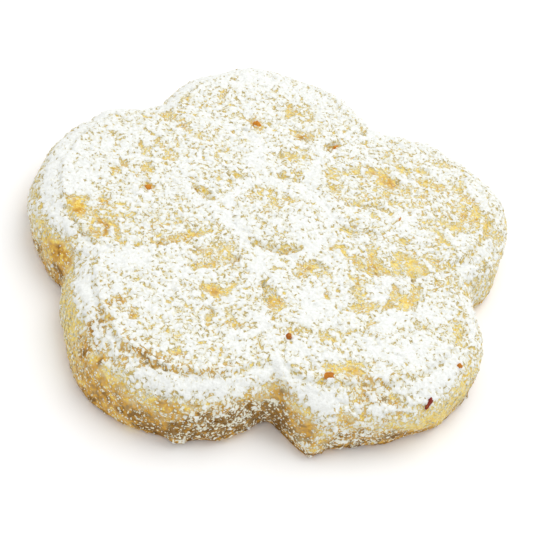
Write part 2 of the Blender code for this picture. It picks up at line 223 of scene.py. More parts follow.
    (4.7, 15.4, 1.7, 0.5, 50, 4.8, 0.42), (0.6, 20.8, 1.7, 0.5, 110, 4, 0.05),
    (8.2, 19.5, 0.8, 0.5, 90, 4, 0), (0.7, 13.2, 1, 0.6, 0, 3.6, 0.25),
    (5.2, 10, 1.2, 0.9, 20, 4.6, 0.05), (8.1, 11.5, 0.5, 0.5, 0, 4, 0.25),
    (10.6, 12.2, 1.2, 0.7, 160, 4.6, 0.15), (11.9, 13.2, 1, 0.5, 0, 3, 0.05),
    (12.2, 11.3, 1.2, 1, 90, 6, 0.2), (13.3, 11, 0.8, 0.5, 90, 6, 0.25), (14, 14, 1.1, 0.6, 160, 5, 0),
    (17.1, 12.8, 0.9, 0.9, 0, 4.8, 0.2), (19.2, 12.6, 0.9, 0.6, 0, 4.2, 0.15),
    (15.4, 10.3, 1, 0.3, 90, 4, 0.3), (17.4, 10.3, 1, 0.3, 70, 4, 0.3),
    (11.9, 16.3, 0.9, 0.5, 90, 3.8, 0.05), (8.8, 16.9, 0.7, 0.4, 90, 3.6, 0.2),
    (19, 16.9, 1.7, 0.4, 0, 3.6, 0), (16.8, 14.7, 0.9, 0.4, 160, 3.8, 0.2),
    (22, 14, 1.4, 0.5, 70, 3.8, 0.05), (22.7, 11.9, 1, 1, 0, 4.2, 0.2),
    (24.1, 10.4, 1.3, 0.6, 90, 4, 0.15), (22.6, 8.4, 1.7, 0.4, 90, 4.4, 0.25),
    (24.3, 8.2, 1.7, 0.4, 90, 4.4, 0.25), (25.6, 8, 1.4, 0.3, 90, 4.2, 0.2),
    (21.3, 5.9, 1.4, 0.6, 0, 4.6, 0), (19.9, 3.6, 1.9, 0.4, 130, 4.6, 0), (26.7, 7.6, 1.4, 1.2, 90, 3, 0),
    (9.3, 5.6, 1.2, 0.35, 0, 5, 0.15), (12, 5.8, 0.9, 0.3, 0, 4, 0.2),
    (11.4, 3.9, 0.5, 0.4, 90, 3.8, 0.25), (9.2, 2, 1, 0.35, 70, 3.6, 0.3),
    (8.8, 0.5, 1.6, 0.5, 0, 3.8, 0.05), (11.6, 1.1, 1.2, 0.35, 0, 3.6, 0.2),
    (15.2, 0.9, 1, 0.4, 0, 4, 0.2), (25.8, 1.6, 1, 0.6, 90, 4, 0.15),
    (5.7, 6.9, 0.8, 0.4, 120, 3.6, 0.25), (1, 7.5, 0.9, 0.5, 90, 3.8, 0.05),
    (0.8, 3.2, 1.2, 0.6, 0, 3.4, 0.15),
)
# The barest of them, where hardly a grain lies: x, y, half length, half width, turn, how bare.
BALD_SPOTS = (
    (-23.1, -6.6, 1.4, 0.75, 107, 4.5), (12.6, 11.2, 1.4, 0.8, 160, 2.2), (16.4, -2, 1.2, 0.8, 0, 1.4),
    (1.9, -13.7, 0.9, 0.6, 0, 2), (11.6, -20.8, 1.5, 0.7, 10, 1.6), (17, -8.6, 1.3, 0.6, 60, 2.2),
    (-9.4, -6.6, 1.7, 0.4, 38, 2), (-5, -14.4, 1, 0.6, 0, 2),
)
# Thick drifts: x, y, half length, half width, turn, how thick.
DRIFTS = (
    (3, -0.8, 2.2, 2.2, 0, 1.8), (-1.2, -9.2, 1.6, 1.4, 0, 2.2), (-4.4, -2.8, 2.2, 1.2, 150, 2.2),
    (-8.6, -1.4, 2.4, 0.9, 150, 1.8), (-15.2, -12.8, 2.6, 1.3, 0, 2.2), (-9.6, -12.6, 1.4, 0.9, 0, 1.8),
    (-11.5, -19, 1.3, 0.9, 0, 2), (-14, -22.4, 1.2, 1.1, 0, 2), (-1.2, -20.6, 2, 1.4, 90, 2.2),
    (-17.8, -19, 1.8, 1.4, 90, 1.6), (5.8, -12.4, 1.8, 1.6, 0, 2.6), (6.4, -14.8, 1.8, 1.2, 0, 2.2),
    (1.2, -17.3, 1.2, 0.7, 0, 2.2), (6.6, -19, 1.8, 1.2, 0, 2), (14, -6.6, 1.8, 1, 45, 2.8),
    (15.4, -12, 1.8, 1.2, 0, 2.8), (19.4, -10.4, 2.2, 1.2, 0, 1.8), (18, -16, 3, 1.6, 50, 1.6),
    (14.2, -17, 1.6, 1.2, 0, 1.4), (14.6, 11.9, 0.6, 0.5, 90, 3), (10.6, 3.2, 1.1, 0.8, 0, 2.2),
    (22.5, 3.4, 1.4, 1.2, 0, 1.8), (3.1, 9.6, 3.2, 0.9, 88, 3.2), (3.4, 13.2, 1.4, 0.6, 80, 1.2),
    (-4.5, 9, 3, 0.8, 105, 2.8), (-8, 25.4, 4, 1.6, 15, 2.2), (-24.5, -1.5, 2.6, 2.4, 0, 1.4),
    (8, 8.4, 1.4, 1, 0, 0.6), (-27, 3, 2, 4.5, 0, 1), (-24, 11.8, 2, 1.8, 0, 2),
    (-16.5, -2.6, 1.6, 1.2, 0, 1.4), (9.2, -20.4, 1, 0.9, 0, 2.4), (-16, -14, 2.6, 2.2, 0, 0.8),
    (23.8, 12.5, 1.3, 3, 20, 2), (1, 4.6, 4, 0.8, 0, 1.4), (10.5, -0.5, 1, 0.8, 0, 1.6),
    (13.6, -9.4, 1, 0.8, 0, 1.8), (13.8, 12.3, 0.9, 0.6, 0, 1.6), (11, 19.4, 2.2, 1, 0, 1.2),
    (-12.8, 1.4, 2.6, 1.6, 80, 1.4), (-18.2, 8, 2.2, 1.3, 90, 1.4), (-12.8, 13, 1.8, 1.2, 90, 1.2),
    (-22, 3, 2.6, 1.4, 60, 1), (1, 24, 5, 3, 0, 1.2), (-10.5, 22.5, 3, 2.4, 0, 1),
    (14.8, -14.6, 2.2, 1.6, 90, 1.2), (21, -16.4, 2.4, 1.6, 60, 1.4), (-12, -24.2, 2.4, 1, 160, 1.2),
    (-10, -16, 2.5, 2, 0, 0.7), (-26, 0, 3, 2, 90, 1), (-24.4, -4, 1.2, 1, 0, 3.2),
    (10.4, 14.2, 2, 0.8, 150, 1.6), (15.2, -20.4, 1.6, 0.9, 0, 2), (3.4, 0.6, 2.6, 1.4, 90, 1),
    (-23.6, -9.4, 1.8, 1.2, 60, 1.6), (22.4, -3.4, 1.6, 1, 0, 0.6), (17.4, 1.4, 1.4, 1, 0, 0.8),
    (13.8, 2, 1.2, 0.8, 0, 0.8), (-1.4, -5, 1, 0.7, 0, 0.8), (-15.2, -17.8, 1, 1, 0, 0.8),
    (8.6, 7, 1, 0.8, 0, 0.8), (9.8, 12.8, 0.8, 0.6, 0, 1.2),
)
# Drifts along the rim: direction, half width in degrees, how thick.
RIM_DRIFTS = (
    (200, 22, 0.4), (222, 12, 0.8), (234, 7, 1), (18, 16, -1.4), (155, 16, 0.8), (110, 20, 0.8),
    (240, 10, 1), (262, 14, 2), (288, 12, 1.6), (320, 10, 0.8),
)
# Heaps of sugar on the rim, which make the far outline uneven: direction, half width, height.
RIM_HEAPS = (
    (104, 5, 0.30), (124, 3.5, 0.28), (52, 4, 0.22), (30, 5, 0.22), (146, 2.5, 0.15), (154, 2.5, 0.20),
    (176, 6, 0.10), (85, 3, 0.12), (70, 3, 0.10),
)
# Worn places along the step up to the petals: direction, half width in degrees, how bare.
STEP_WEAR = ((231, 6, 0.8), (245, 8, 1.2), (258, 8, 1.1), (269, 5, 0.8), (303, 9, 1.0))
# Places on the wall: direction, height, half width in degrees, half height, how much more sugar, how much
# more toasted. The toast is partly real and partly painted shade, and negative toast is painted light.
WALL_PLACES = (
    (190, 5, 14, 3, 1.6, 0), (207, 5.7, 5, 1.4, -7, 0.3), (209, 3.6, 4, 1.6, -3, 0.3),
    (228, 5.6, 5, 1.5, -2, -0.3), (223, 4, 5, 4, 1.2, -0.45), (236, 5.2, 5, 1.6, -0.6, 0.2),
    (244, 3.4, 7, 3, -3, 0.24), (254, 3.2, 6, 2.4, -2, 0.32), (257, 5.7, 3, 0.7, -3.5, 0.35),
    (261.5, 1.3, 1.2, 0.8, 4, -0.1), (265, 4.2, 6, 2, 1, 0.85), (273, 4, 5, 2.5, 0.5, 0.72),
    (281, 6.4, 3.5, 0.8, -6, 0.25), (281, 3.8, 3.8, 2.6, -1.2, 0.72), (288, 3.8, 2.4, 1.3, -4, 0.25),
    (288, 2, 1.8, 0.9, 3.5, 0), (290.5, 6, 2.6, 1.6, 4, 0), (299, 3.8, 9, 2.2, 1.6, 0.3),
    (295.5, 5.6, 2, 0.7, -3, 0.15), (305, 6.3, 7, 1, 2.6, 0), (308, 2.2, 3, 0.9, 0, 0.5),
    (314, 2.8, 7, 1.8, -2.6, -0.3), (322, 3.4, 6, 1.8, -1.2, -0.35), (328, 5, 4, 1.4, -0.6, -0.35),
    (319, 6.6, 7, 1.2, 2, -0.1), (331, 6.6, 6, 1.2, 1, -0.1), (336, 6.4, 6, 1.6, 1.2, -0.25),
    (248, 1.4, 8, 0.9, 0, -0.35), (12, 4.5, 16, 3.5, 2.6, -0.6), (350, 4.5, 10, 3.5, 2, -0.5),
    (60, 5, 16, 3, 1, 0), (120, 5, 18, 3, 1.2, 0),
)
# Cracks in the wall: direction, height, half width in degrees, half height, depth.
CRACKS = (
    (256.3, 6.6, 1.7, 0.20, 0.40),
    (227.4, 5.1, 1.6, 0.18, 0.35),
    (288.6, 5.0, 1.6, 0.16, 0.30),
    (256.5, 3.5, 5.0, 0.14, 0.20),
)

# ---- Fineness and maps ------------------------------------------------------------------------

TOP_RUN = 26.0           # usual distance from the middle of the stamp to its edge
SHOULDER_RUN = 6.2       # length of the wall's profile over each of its three parts
BELLY_RUN = 0.8
FOOT_RUN = 2.6
WALL_STRIPS = 4          # the wall unrolls into this many strips in its map
TOP_MAP = 0.62           # the top's share of the dough's map
SIDE_MAP = 0.36          # and the share of the underside, and of the wall's strips in height
UNDERSIDE_RINGS = 34
SCATTER_SPACING = 0.5    # of the coarser skin on which grains and lumps are scattered

# ---- How sugar, browning and painted shade follow the form ------------------------------------

BARE_STRENGTH = 1.35     # how strongly the bare patches and the drifts count
DRIFT_STRENGTH = 1.3
RIM_INSET = 2.3          # the rim's sugar lies this far in from the belly
RIM_HALF_WIDTH = 1.1
STEP_INSET = 4.1         # and the worn step to the petals this far in
HEAP_INSET = 1.8         # and the heaps that make the far outline uneven
HEAP_ROUGHNESS = 0.22
TOP_EDGE = (0.2, 1.8)    # from the wall's cover to the top's, between these distances in
PLACES_END = (2.4, 3.4)  # and the places on the wall fade out between these
WALL_RISE = 0.30         # cover gained for each millimetre above the wall's middle
WALL_MIDDLE = 4.0
STEEP = (0.02, 0.75)     # the top loses cover while 1 - the normal's z rises between these
COAT_FOOT = 0.25         # the coat on the wall ends this far above the floor
THINNEST = 0.8           # the coat's depth grows from this far below half cover
THICKENING = 1.6         # and is 63% of the whole after this much more
NO_SUGAR = -9.0          # cover on the underside
LEAST_TOAST = 0.04       # browning of the top, and how much the foot has beyond it, partly real toast and partly painted shade
FOOT_TOAST_AND_SHADE = 0.58
UNDERSIDE_TOAST = 0.62
COAT_END = -1.4          # the coat of sugar goes on until its cover is this low
COAT_LIFT = 0.045        # and lies this far above the crust there


# ---- Formulas of the form, on arrays of points ------------------------------------------------

def in_mm(length):
    return length / MM


def turn_between(a, b):
    return (a - b + 180.0) % 360.0 - 180.0


def smooth_step(value, start, end):
    t = np.clip((value - start) / (end - start), 0.0, 1.0)
    return t * t * (3.0 - 2.0 * t)


def hump(value, half_width):
    return np.exp(-(value / half_width) ** 2)


def swell(direction, swells):
    return sum(out * hump(turn_between(direction, at), half) for at, half, out in swells)


def lobe_reach(direction, at, distance, radius):
    """How far a ray from the middle travels before it leaves one lobe's circle."""
    turn = np.radians(turn_between(direction, at))
    aside = distance * np.sin(turn)
    crosses = (np.abs(aside) < radius) & (np.abs(turn) <= math.pi / 2)
    far = distance * np.cos(turn) + np.sqrt(np.maximum(radius ** 2 - aside ** 2, 0.0))
    return np.where(crosses, far, 0.0)


def reach(direction):
    """Distance from the middle of the stamp to the belly of the wall."""
    reaches = np.array([lobe_reach(direction, *lobe) for lobe in LOBES])
    farthest = reaches.max(axis=0)
    blend = np.exp((reaches - farthest) / NOTCH_SOFTNESS).sum(axis=0)
    return farthest + NOTCH_SOFTNESS * np.log(blend) + swell(direction, EDGE_SWELLS)


def lumps(x, y, z, size):
    """Smooth noise between about -0.6 and 0.6, with lumps of the given size."""
    x, y, z = np.broadcast_arrays(x, y, z)
    places = np.stack((x, y, z), axis=-1).reshape(-1, 3) / size
    return np.array([noise.noise(place) for place in places.tolist()])


def layered(x, y, z, layers, start=0.0):
    """Adds up layers of noise: strength, size, shift."""
    return sum((strength * lumps(x + dx, y + dy, z + dz, size)
                for strength, size, (dx, dy, dz) in layers), start)


def wall_sum(direction, height, places, column):
    """Adds up soft places on the wall: direction, height, half turn, half height, values."""
    total = np.zeros_like(height)
    for place in places:
        near = np.hypot(turn_between(direction, place[0]) / place[2], (height - place[1]) / place[3])
        total += place[column] * hump(near, 1.0)
    return total


def inner_petal_groove(x, y):
    deepest = np.zeros_like(x)
    for at, distance, half_length, half_width in INNER_PETALS:
        a = math.radians(at)
        along = x * math.cos(a) + y * math.sin(a) - distance
        aside = -x * math.sin(a) + y * math.cos(a)
        width = half_width * (1.0 + 0.18 * along / half_length)
        oval = np.hypot(along / half_length, aside / width)
        off_edge = (oval - 1.0) * 0.5 * (half_length + half_width)
        deepest = np.maximum(deepest, hump(off_edge, OUTLINE_HALF_WIDTH))
    return deepest


def crease(x, y):
    distance = np.hypot(x, y)
    direction = np.degrees(np.arctan2(y, x))
    deepest = np.zeros_like(x)
    for at_start, start, at_end, end in CREASES:
        t = (distance - start) / (end - start)
        at = at_start + turn_between(at_end, at_start) * np.clip(t, 0.0, 1.2)
        aside = distance * np.radians(turn_between(direction, at))
        fade = smooth_step(t, -0.12, 0.08)
        deepest = np.maximum(deepest, fade * hump(aside, CREASE_HALF_WIDTH))
    return deepest


def flutes(x, y):
    distance = np.hypot(x, y)
    direction = np.degrees(np.arctan2(y, x))
    span = smooth_step(distance, FLUTE_START - 1.5, FLUTE_START) * (
        1.0 - smooth_step(distance, FLUTE_END - 1.5, FLUTE_END))
    middles = [at + side * FLUTE_TURN for at, _, _ in LOBES for side in (-0.5, 0.5)]
    nearest = np.min([np.abs(turn_between(direction, middle)) for middle in middles], axis=0)
    return span * hump(distance * np.radians(nearest), FLUTE_HALF_WIDTH)


def shoulder_height(form, inset):
    """Height of the rounded shoulder at a distance in from the belly."""
    start = in_mm(form.shoulder_start)
    rise = in_mm(form.thickness - form.pad_rise) - start
    t = np.clip(1.0 - inset / in_mm(form.shoulder_width), 0.0, 1.0)
    return start + rise * np.sqrt(1.0 - t * t)


def carving(form, x, y):
    """How deep the deepest of the stamp's lines is pressed, without the step up to the petals."""
    return np.max(stamped_lines(form, x, y), axis=0)


def stamped_lines(form, x, y):
    """Depth of each kind of line on its own: ring, outlines, creases and flutes."""
    from_middle = np.hypot(x, y)
    ring_radius = in_mm(form.ring_radius)
    past_button = smooth_step(from_middle, in_mm(form.button_radius), ring_radius)
    return np.array([
        in_mm(form.ring_depth) * hump(from_middle - ring_radius, RING_HALF_WIDTH),
        in_mm(form.outline_depth) * inner_petal_groove(x, y) * past_button,
        in_mm(form.crease_depth) * crease(x, y),
        in_mm(form.flute_depth) * flutes(x, y),
    ])


def top_height(form, x, y, inset):
    """Height of the stamped top, from the shoulder to the button."""
    step_start = in_mm(form.shoulder_width) - 0.3 * STEP_WIDTH
    petals = smooth_step(inset, step_start, step_start + STEP_WIDTH)
    crown = BUTTON_CROWN * np.maximum(0.0, 1.0 - np.hypot(x, y) ** 2 / in_mm(form.button_radius) ** 2)
    relief = petals * (in_mm(form.pad_rise) - carving(form, x, y) + crown)
    uneven = LUMP_HEIGHT * (lumps(x, y, 0.0, LUMP_SIZE) + 0.5 * lumps(x, y, 9.0, 0.5 * LUMP_SIZE))
    return shoulder_height(form, inset) + relief + uneven * smooth_step(inset, 0.5, 2.0)


def height_at(form, x, y):
    """Height of the top above places in plan."""
    direction = np.degrees(np.arctan2(y, x))
    return top_height(form, x, y, reach(direction) - np.hypot(x, y))


# ---- The skin: places spread evenly over the biscuit ------------------------------------------

class Skin:
    """Points over the biscuit from the middle out and down, with the triangles between them."""

    def __init__(self, form, spacing):
        self.form = form
        self.spacing = spacing
        self.rings = round(TOP_RUN / spacing)
        self.columns = 6 * self.rings
        self.lay_top()
        self.lay_wall()
        top = self.top_triangles()
        self.triangles = np.array(top + self.wall_triangles())
        self.on_top = np.arange(len(self.triangles)) < len(top)
        self.points = np.stack((self.x, self.y, self.z), axis=-1)

    def lay_top(self):
        counts = [1] + [6 * k for k in range(1, self.rings + 1)]
        self.direction = np.concatenate([360.0 * np.arange(n) / n for n in counts])
        share = np.repeat(np.arange(self.rings + 1) / self.rings, counts)
        edge = reach(self.direction)
        out = (edge - in_mm(self.form.shoulder_width)) * share
        self.inset = edge - out
        self.x = out * np.cos(np.radians(self.direction))
        self.y = out * np.sin(np.radians(self.direction))
        self.z = top_height(self.form, self.x, self.y, self.inset)
        self.top_count = len(self.x)

    def lay_wall(self):
        """Rows of points over the shoulder, down the belly and round the foot."""
        form, spacing = self.form, self.spacing
        start, width = in_mm(form.shoulder_start), in_mm(form.shoulder_width)
        foot, tuck = in_mm(form.foot_height), in_mm(form.foot_tuck)
        over = np.linspace(0.0, math.pi / 2, round(SHOULDER_RUN / spacing) + 1)[1:]
        down = np.linspace(start, foot, round(BELLY_RUN / spacing) + 1)[1:]
        under = np.linspace(0.0, math.pi / 2, round(FOOT_RUN / spacing) + 1)[1:]
        insets = np.concatenate([width * (1.0 - np.sin(over)), 0.0 * down, tuck * (1.0 - np.cos(under))])
        heights = np.concatenate([0.0 * over, down, foot * (1.0 - np.sin(under))])
        self.rows = len(insets)
        direction = np.tile(360.0 * np.arange(self.columns) / self.columns, self.rows)
        inset, height = np.repeat(insets, self.columns), np.repeat(heights, self.columns)
        shoulder = np.repeat(np.arange(self.rows) < len(over), self.columns)
        height = np.where(shoulder, shoulder_height(form, inset), height)
        foot_share = 1.0 - smooth_step(height, 1.2, 4.2)
        out = reach(direction) - inset + foot_share * swell(direction, FOOT_SWELLS)
        turn = np.radians(direction)
        rough = WALL_LUMP * lumps(out * np.cos(turn), out * np.sin(turn), height, LUMP_SIZE)
        out += rough * smooth_step(height, -0.5, 1.0) * smooth_step(width - inset, 0.0, 1.2)
        x, y = out * np.cos(turn), out * np.sin(turn)
        z = np.where(shoulder, top_height(form, x, y, inset), height)
        self.direction = np.append(self.direction, direction)
        self.inset = np.append(self.inset, inset)
        self.x, self.y, self.z = np.append(self.x, x), np.append(self.y, y), np.append(self.z, z)

    def top_triangles(self):
        made, inner = [], range(0, 1)
        for k in range(1, self.rings + 1):
            first = inner.stop
            outer = range(first, first + 6 * k)
            made += between_rings(inner, outer)
            inner = outer
        return made

    def wall_triangles(self):
        made = []
        columns = self.columns
        for row in range(self.rows):
            upper = self.top_count + (row - 1) * columns
            lower = upper + columns
            for n in range(columns):
                m = (n + 1) % columns
                made.append((upper + n, lower + n, lower + m))
                made.append((upper + n, lower + m, upper + m))
        return made

    def normals(self):
        return vertex_normals(self.points, self.triangles)


def between_rings(inner, outer):
    """Triangles between two closed rings of points, of any two counts."""
    made, i, j = [], 0, 0
    if len(inner) == 1:
        return [(inner[0], outer[n], outer[(n + 1) % len(outer)]) for n in range(len(outer))]
    while i < len(inner) or j < len(outer):
        a, b = inner[i % len(inner)], outer[j % len(outer)]
        if i == len(inner) or (j < len(outer) and j * len(inner) <= i * len(outer)):
            made.append((a, b, outer[(j + 1) % len(outer)]))
            j += 1
        else:
            made.append((a, b, inner[(i + 1) % len(inner)]))
            i += 1
    return made


def vertex_normals(points, triangles):
    a, b, c = (points[triangles[:, n]] for n in range(3))
    facing = np.cross(b - a, c - a)
    normals = np.zeros_like(points)
    for n in range(3):
        np.add.at(normals, triangles[:, n], facing)
    return normals / np.maximum(np.linalg.norm(normals, axis=1, keepdims=True), 1e-9)


def crumb_relief(crust, direction, x, y, z):
    """How far the crumbly crust stands out of the stamped form, in millimetres."""
    grain = in_mm(crust.grain_height)
    rough = layered(x, y, z, CRUMB_NOISE)
    pits = smooth_step(lumps(x, y - 47.0, z, 0.9), 0.28, 0.5)
    cracked = wall_sum(direction, z + 0.5 * lumps(x, y, z, 1.6), CRACKS, 4)
    return grain * rough - in_mm(crust.pit_depth) * pits - cracked


def sugar_bed(crust, z):
    """How far the crust of the top lies below the stamped form, to leave room for its sugar."""
    return in_mm(crust.bed) * smooth_step(z, 5.0, 7.2)


def patch_sum(x, y, patches, column=5):
    """Adds up soft oval patches: x, y, half length, half width, turn, values."""
    total = np.zeros_like(x)
    for patch in patches:
        at_x, at_y, half_length, half_width, turn = patch[:5]
        a = math.radians(turn)
        along = (x - at_x) * math.cos(a) + (y - at_y) * math.sin(a)
        aside = -(x - at_x) * math.sin(a) + (y - at_y) * math.cos(a)
        total += patch[column] * hump(np.hypot(along / half_length, aside / half_width), 1.0)
    return total


def sugar_cover(sugar, form, direction, inset, points, normals):
    """How well sugar covers the crust, as log-odds: 0 hides half of it, 3 nearly all."""
    x, y, z = points.T
    top = (sugar.top_cover - BARE_STRENGTH * patch_sum(x, y, BARE_PATCHES)
           + DRIFT_STRENGTH * patch_sum(x, y, DRIFTS))
    top = np.where(top < 0.0, sugar.barest * (np.exp(top / sugar.barest) - 1.0), top)
    top -= patch_sum(x, y, BALD_SPOTS)
    top += sugar.groove_cover * np.minimum(carving(form, x, y) / in_mm(form.ring_depth), 1.0)
    top += (sugar.rim_cover + swell(direction, RIM_DRIFTS)) * hump(inset - RIM_INSET, RIM_HALF_WIDTH)
    top -= swell(direction, STEP_WEAR) * hump(inset - STEP_INSET, 1.0)
    wall = sugar.wall_cover + WALL_RISE * (z - WALL_MIDDLE)
    slope = smooth_step(1.0 - normals[:, 2], *STEEP)
    blend = smooth_step(inset, *TOP_EDGE)
    wander = (1.4 - 0.8 * blend) * layered(x, y, z, COVER_NOISE)
    below_petals = 1.0 - smooth_step(inset, *PLACES_END)
    placed = wall_sum(direction, z, WALL_PLACES, 4) * below_petals
    return blend * (top - sugar.slope_loss * slope) + (1.0 - blend) * wall + placed + wander


def sugar_clumps(x, y, z):
    """Clumpy noise of sieved sugar, with about unit spread."""
    cells = 2.2 * (np.abs(lumps(x, y, z, 0.85)) - 0.22)
    return layered(x, y, z, CLUMP_NOISE, cells)


def sugar_fill(sugar, form, x, y, inset, cover):
    """How high sugar has filled up the stamped lines and the rim, in millimetres."""
    lines = stamped_lines(form, x, y)
    deepest = lines.max(axis=0)
    softened = (lines ** 4).sum(axis=0) ** 0.25
    left = (1.0 - sugar.line_fill) * softened
    on_rim = in_mm(sugar.rim_fill) * (0.7 + lumps(x, y, 25.0, 2.0)) * hump(inset - 3.2, 1.1)
    return smooth_step(cover, -1.0, 2.0) * np.maximum(deepest - left, on_rim)


def sugared_skin(form, crust, sugar, spacing):
    """The skin with its normals, its crumb relief and its cover of sugar."""
    skin = Skin(form, spacing)
    normals = skin.normals()
    relief = crumb_relief(crust, skin.direction, skin.x, skin.y, skin.z)
    cover = sugar_cover(sugar, form, skin.direction, skin.inset, skin.points, normals)
    return skin, normals, relief, cover


def broken_cover(sugar, skin, cover):
    return cover + sugar.clumping * sugar_clumps(skin.x, skin.y, skin.z)


def hollows(relief):
    """0 on the crumbs to 1 in the hollows between them, where the crust gets painted shade."""
    return smooth_step(-relief, 0.06, 0.24)


# ---- Meshes -----------------------------------------------------------------------------------

def stamp_middle():
    """Middle of the biscuit's own box in the stamp's frame; the CAD solid is centred on it."""
    direction = np.arange(0.0, 360.0, 0.5)
    turn = np.radians(direction)
    out = reach(direction) + swell(direction, FOOT_SWELLS)
    x, y = out * np.cos(turn), out * np.sin(turn)
    return np.array(((x.min() + x.max()) / 2, (y.min() + y.max()) / 2, 0.0))


def to_frame(points):
    """Stamp millimetres to the row frame's metres."""
    return (np.asarray(points) - stamp_middle()) * MM


def keep_used(points, triangles, *per_point):
    used, renumbered = np.unique(triangles, return_inverse=True)
    return (points[used], renumbered.reshape(-1, 3), *(values[used] for values in per_point))


def make_piece(name, points, triangles, material, slot, **per_point):
    """A smooth mesh that rides on the biscuit; extra values are kept as point attributes."""
    data = bpy.data.meshes.new(name)
    data.from_pydata(to_frame(points).tolist(), [], triangles.tolist())
    for key, values in per_point.items():
        data.attributes.new(key, "FLOAT", "POINT").data.foreach_set("value", values.astype(np.float32))
    data.shade_smooth()
    data.materials.append(material)
    piece = bpy.data.objects.new(name, data)
    bpy.context.scene.collection.objects.link(piece)
    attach(piece, BODY)
    return piece


def clear_piece(name):
    old = bpy.data.objects.get(name)
    if old is not None:
        bpy.data.objects.remove(old)


def lay_map(piece, corners):
    """Gives the piece its map: one place in the unit square for each corner of each triangle."""
    layer = piece.data.uv_layers.new(name="OFBake")
    layer.uv.foreach_set("vector", corners.astype(np.float32).ravel())
    layer.active_render = False


def map_from_above(points):
    """Seen from above, scaled to fill the unit square."""
    low, high = points[:, :2].min(axis=0), points[:, :2].max(axis=0)
    return 0.005 + 0.99 * (points[:, :2] - low) / (high - low).max()


def lay_flat_map(piece, points, triangles):
    lay_map(piece, map_from_above(points)[triangles].reshape(-1, 2))


def map_unrolled(direction, down, triangles, strips=WALL_STRIPS):
    """The wall, unrolled into strips one above another. A triangle stays whole in one strip."""
    turn = (direction[triangles] % 360.0) / 360.0
    turn = np.where(turn < turn.max(axis=1, keepdims=True) - 0.5, turn + 1.0, turn)
    strip = np.minimum(np.floor(turn.min(axis=1, keepdims=True) * strips), strips - 1)
    across = (turn * strips - strip) * 0.97 + 0.01
    up = (strip + 0.02 + 0.96 * down[triangles]) / strips
    return np.stack((across, up), axis=-1).reshape(-1, 2)


# ---- Materials --------------------------------------------------------------------------------

def new_tree(name):
    material = bpy.data.materials.get(name)
    if material is not None:
        bpy.data.materials.remove(material)
    material = bpy.data.materials.new(name)
    material.use_nodes = True
    tree = material.node_tree
    return material, tree, tree.nodes["Principled BSDF"]


def add(tree, kind, label, **settings):
    node = tree.nodes.new(kind)
    node.name = node.label = label
    for key, value in settings.items():
        setattr(node, key, value)
    return node


def calculate(tree, operation, first, second, label, clamp=False):
    """A Math node on two sockets or numbers; gives its output."""
    node = add(tree, "ShaderNodeMath", label, operation=operation, use_clamp=clamp)
    for socket, value in zip(node.inputs, (first, second)):
        if isinstance(value, bpy.types.NodeSocket):
            tree.links.new(value, socket)
        else:
            socket.default_value = value
    return node.outputs[0]


def remap(tree, value, low, high, label, to_low=0.0, to_high=1.0):
    node = add(tree, "ShaderNodeMapRange", label, interpolation_type="SMOOTHSTEP")
    tree.links.new(value, node.inputs["Value"])
    for socket, number in zip(("From Min", "From Max", "To Min", "To Max"), (low, high, to_low, to_high)):
        node.inputs[socket].default_value = number
    return node.outputs["Result"]


def mix_colours(tree, share, first, second, label):
    node = add(tree, "ShaderNodeMix", label, data_type="RGBA")
    sockets = [s for s in node.inputs if s.enabled]
    for socket, value in zip(sockets, (share, first, second)):
        if isinstance(value, bpy.types.NodeSocket):
            tree.links.new(value, socket)
        else:
            socket.default_value = (*value[:3], 1.0)
    return next(s for s in node.outputs if s.enabled)


def attribute(tree, name):
    return add(tree, "ShaderNodeAttribute", name, attribute_name=name).outputs["Fac"]


def texture(tree, kind, label, place, scale, detail=None, **settings):
    """A noise or cell texture at a place and a scale."""
    node = add(tree, kind, label, **settings)
    tree.links.new(place, node.inputs["Vector"])
    tree.links.new(scale, node.inputs["Scale"])
    if detail is not None:
        node.inputs["Detail"].default_value = detail
    return node


def grain_group():
    """Shared effect: fine grains at one size, as a mask and a height."""
    group = bpy.data.node_groups.get("kahk_grain")
    if group is not None:
        return group
    group, settings, results = emptied_group(
        "kahk_grain", ("Grain size", "Sharpness"),
        (("Mask", "NodeSocketFloat"), ("Height", "NodeSocketFloat")))
    place = add(group, "ShaderNodeTexCoord", "place").outputs["Object"]
    scale = calculate(group, "DIVIDE", 1.0, settings["Grain size"], "grains in a metre")
    fine = texture(group, "ShaderNodeTexNoise", "grains", place, scale, 2.0)
    fine.inputs["Roughness"].default_value = 0.6
    half_band = calculate(group, "SUBTRACT", 0.26, calculate(
        group, "MULTIPLY", settings["Sharpness"], 0.24, "sharpening"), "half band")
    off_middle = calculate(group, "SUBTRACT", fine.outputs["Fac"], 0.5, "off the middle")
    mask = calculate(group, "ADD", calculate(
        group, "DIVIDE", off_middle, half_band, "stretched"), 0.5, "mask", clamp=True)
    group.links.new(mask, results["Mask"])
    group.links.new(fine.outputs["Fac"], results["Height"])
    return group


def add_grain(tree, label, size, sharpness):
    node = add(tree, "ShaderNodeGroup", label, node_tree=grain_group())
    node.inputs["Grain size"].default_value = size
    node.inputs["Sharpness"].default_value = sharpness
    return node


def bump(tree, shader, height, distance, strength, label, before=None):
    """Raises the shading by a height, on top of an earlier bump if there is one."""
    node = add(tree, "ShaderNodeBump", label)
    if before is not None:
        tree.links.new(before, node.inputs["Normal"])
    node.inputs["Distance"].default_value = distance
    node.inputs["Strength"].default_value = strength
    tree.links.new(height, node.inputs["Height"])
    tree.links.new(node.outputs["Normal"], shader.inputs["Normal"])
    return node.outputs["Normal"]


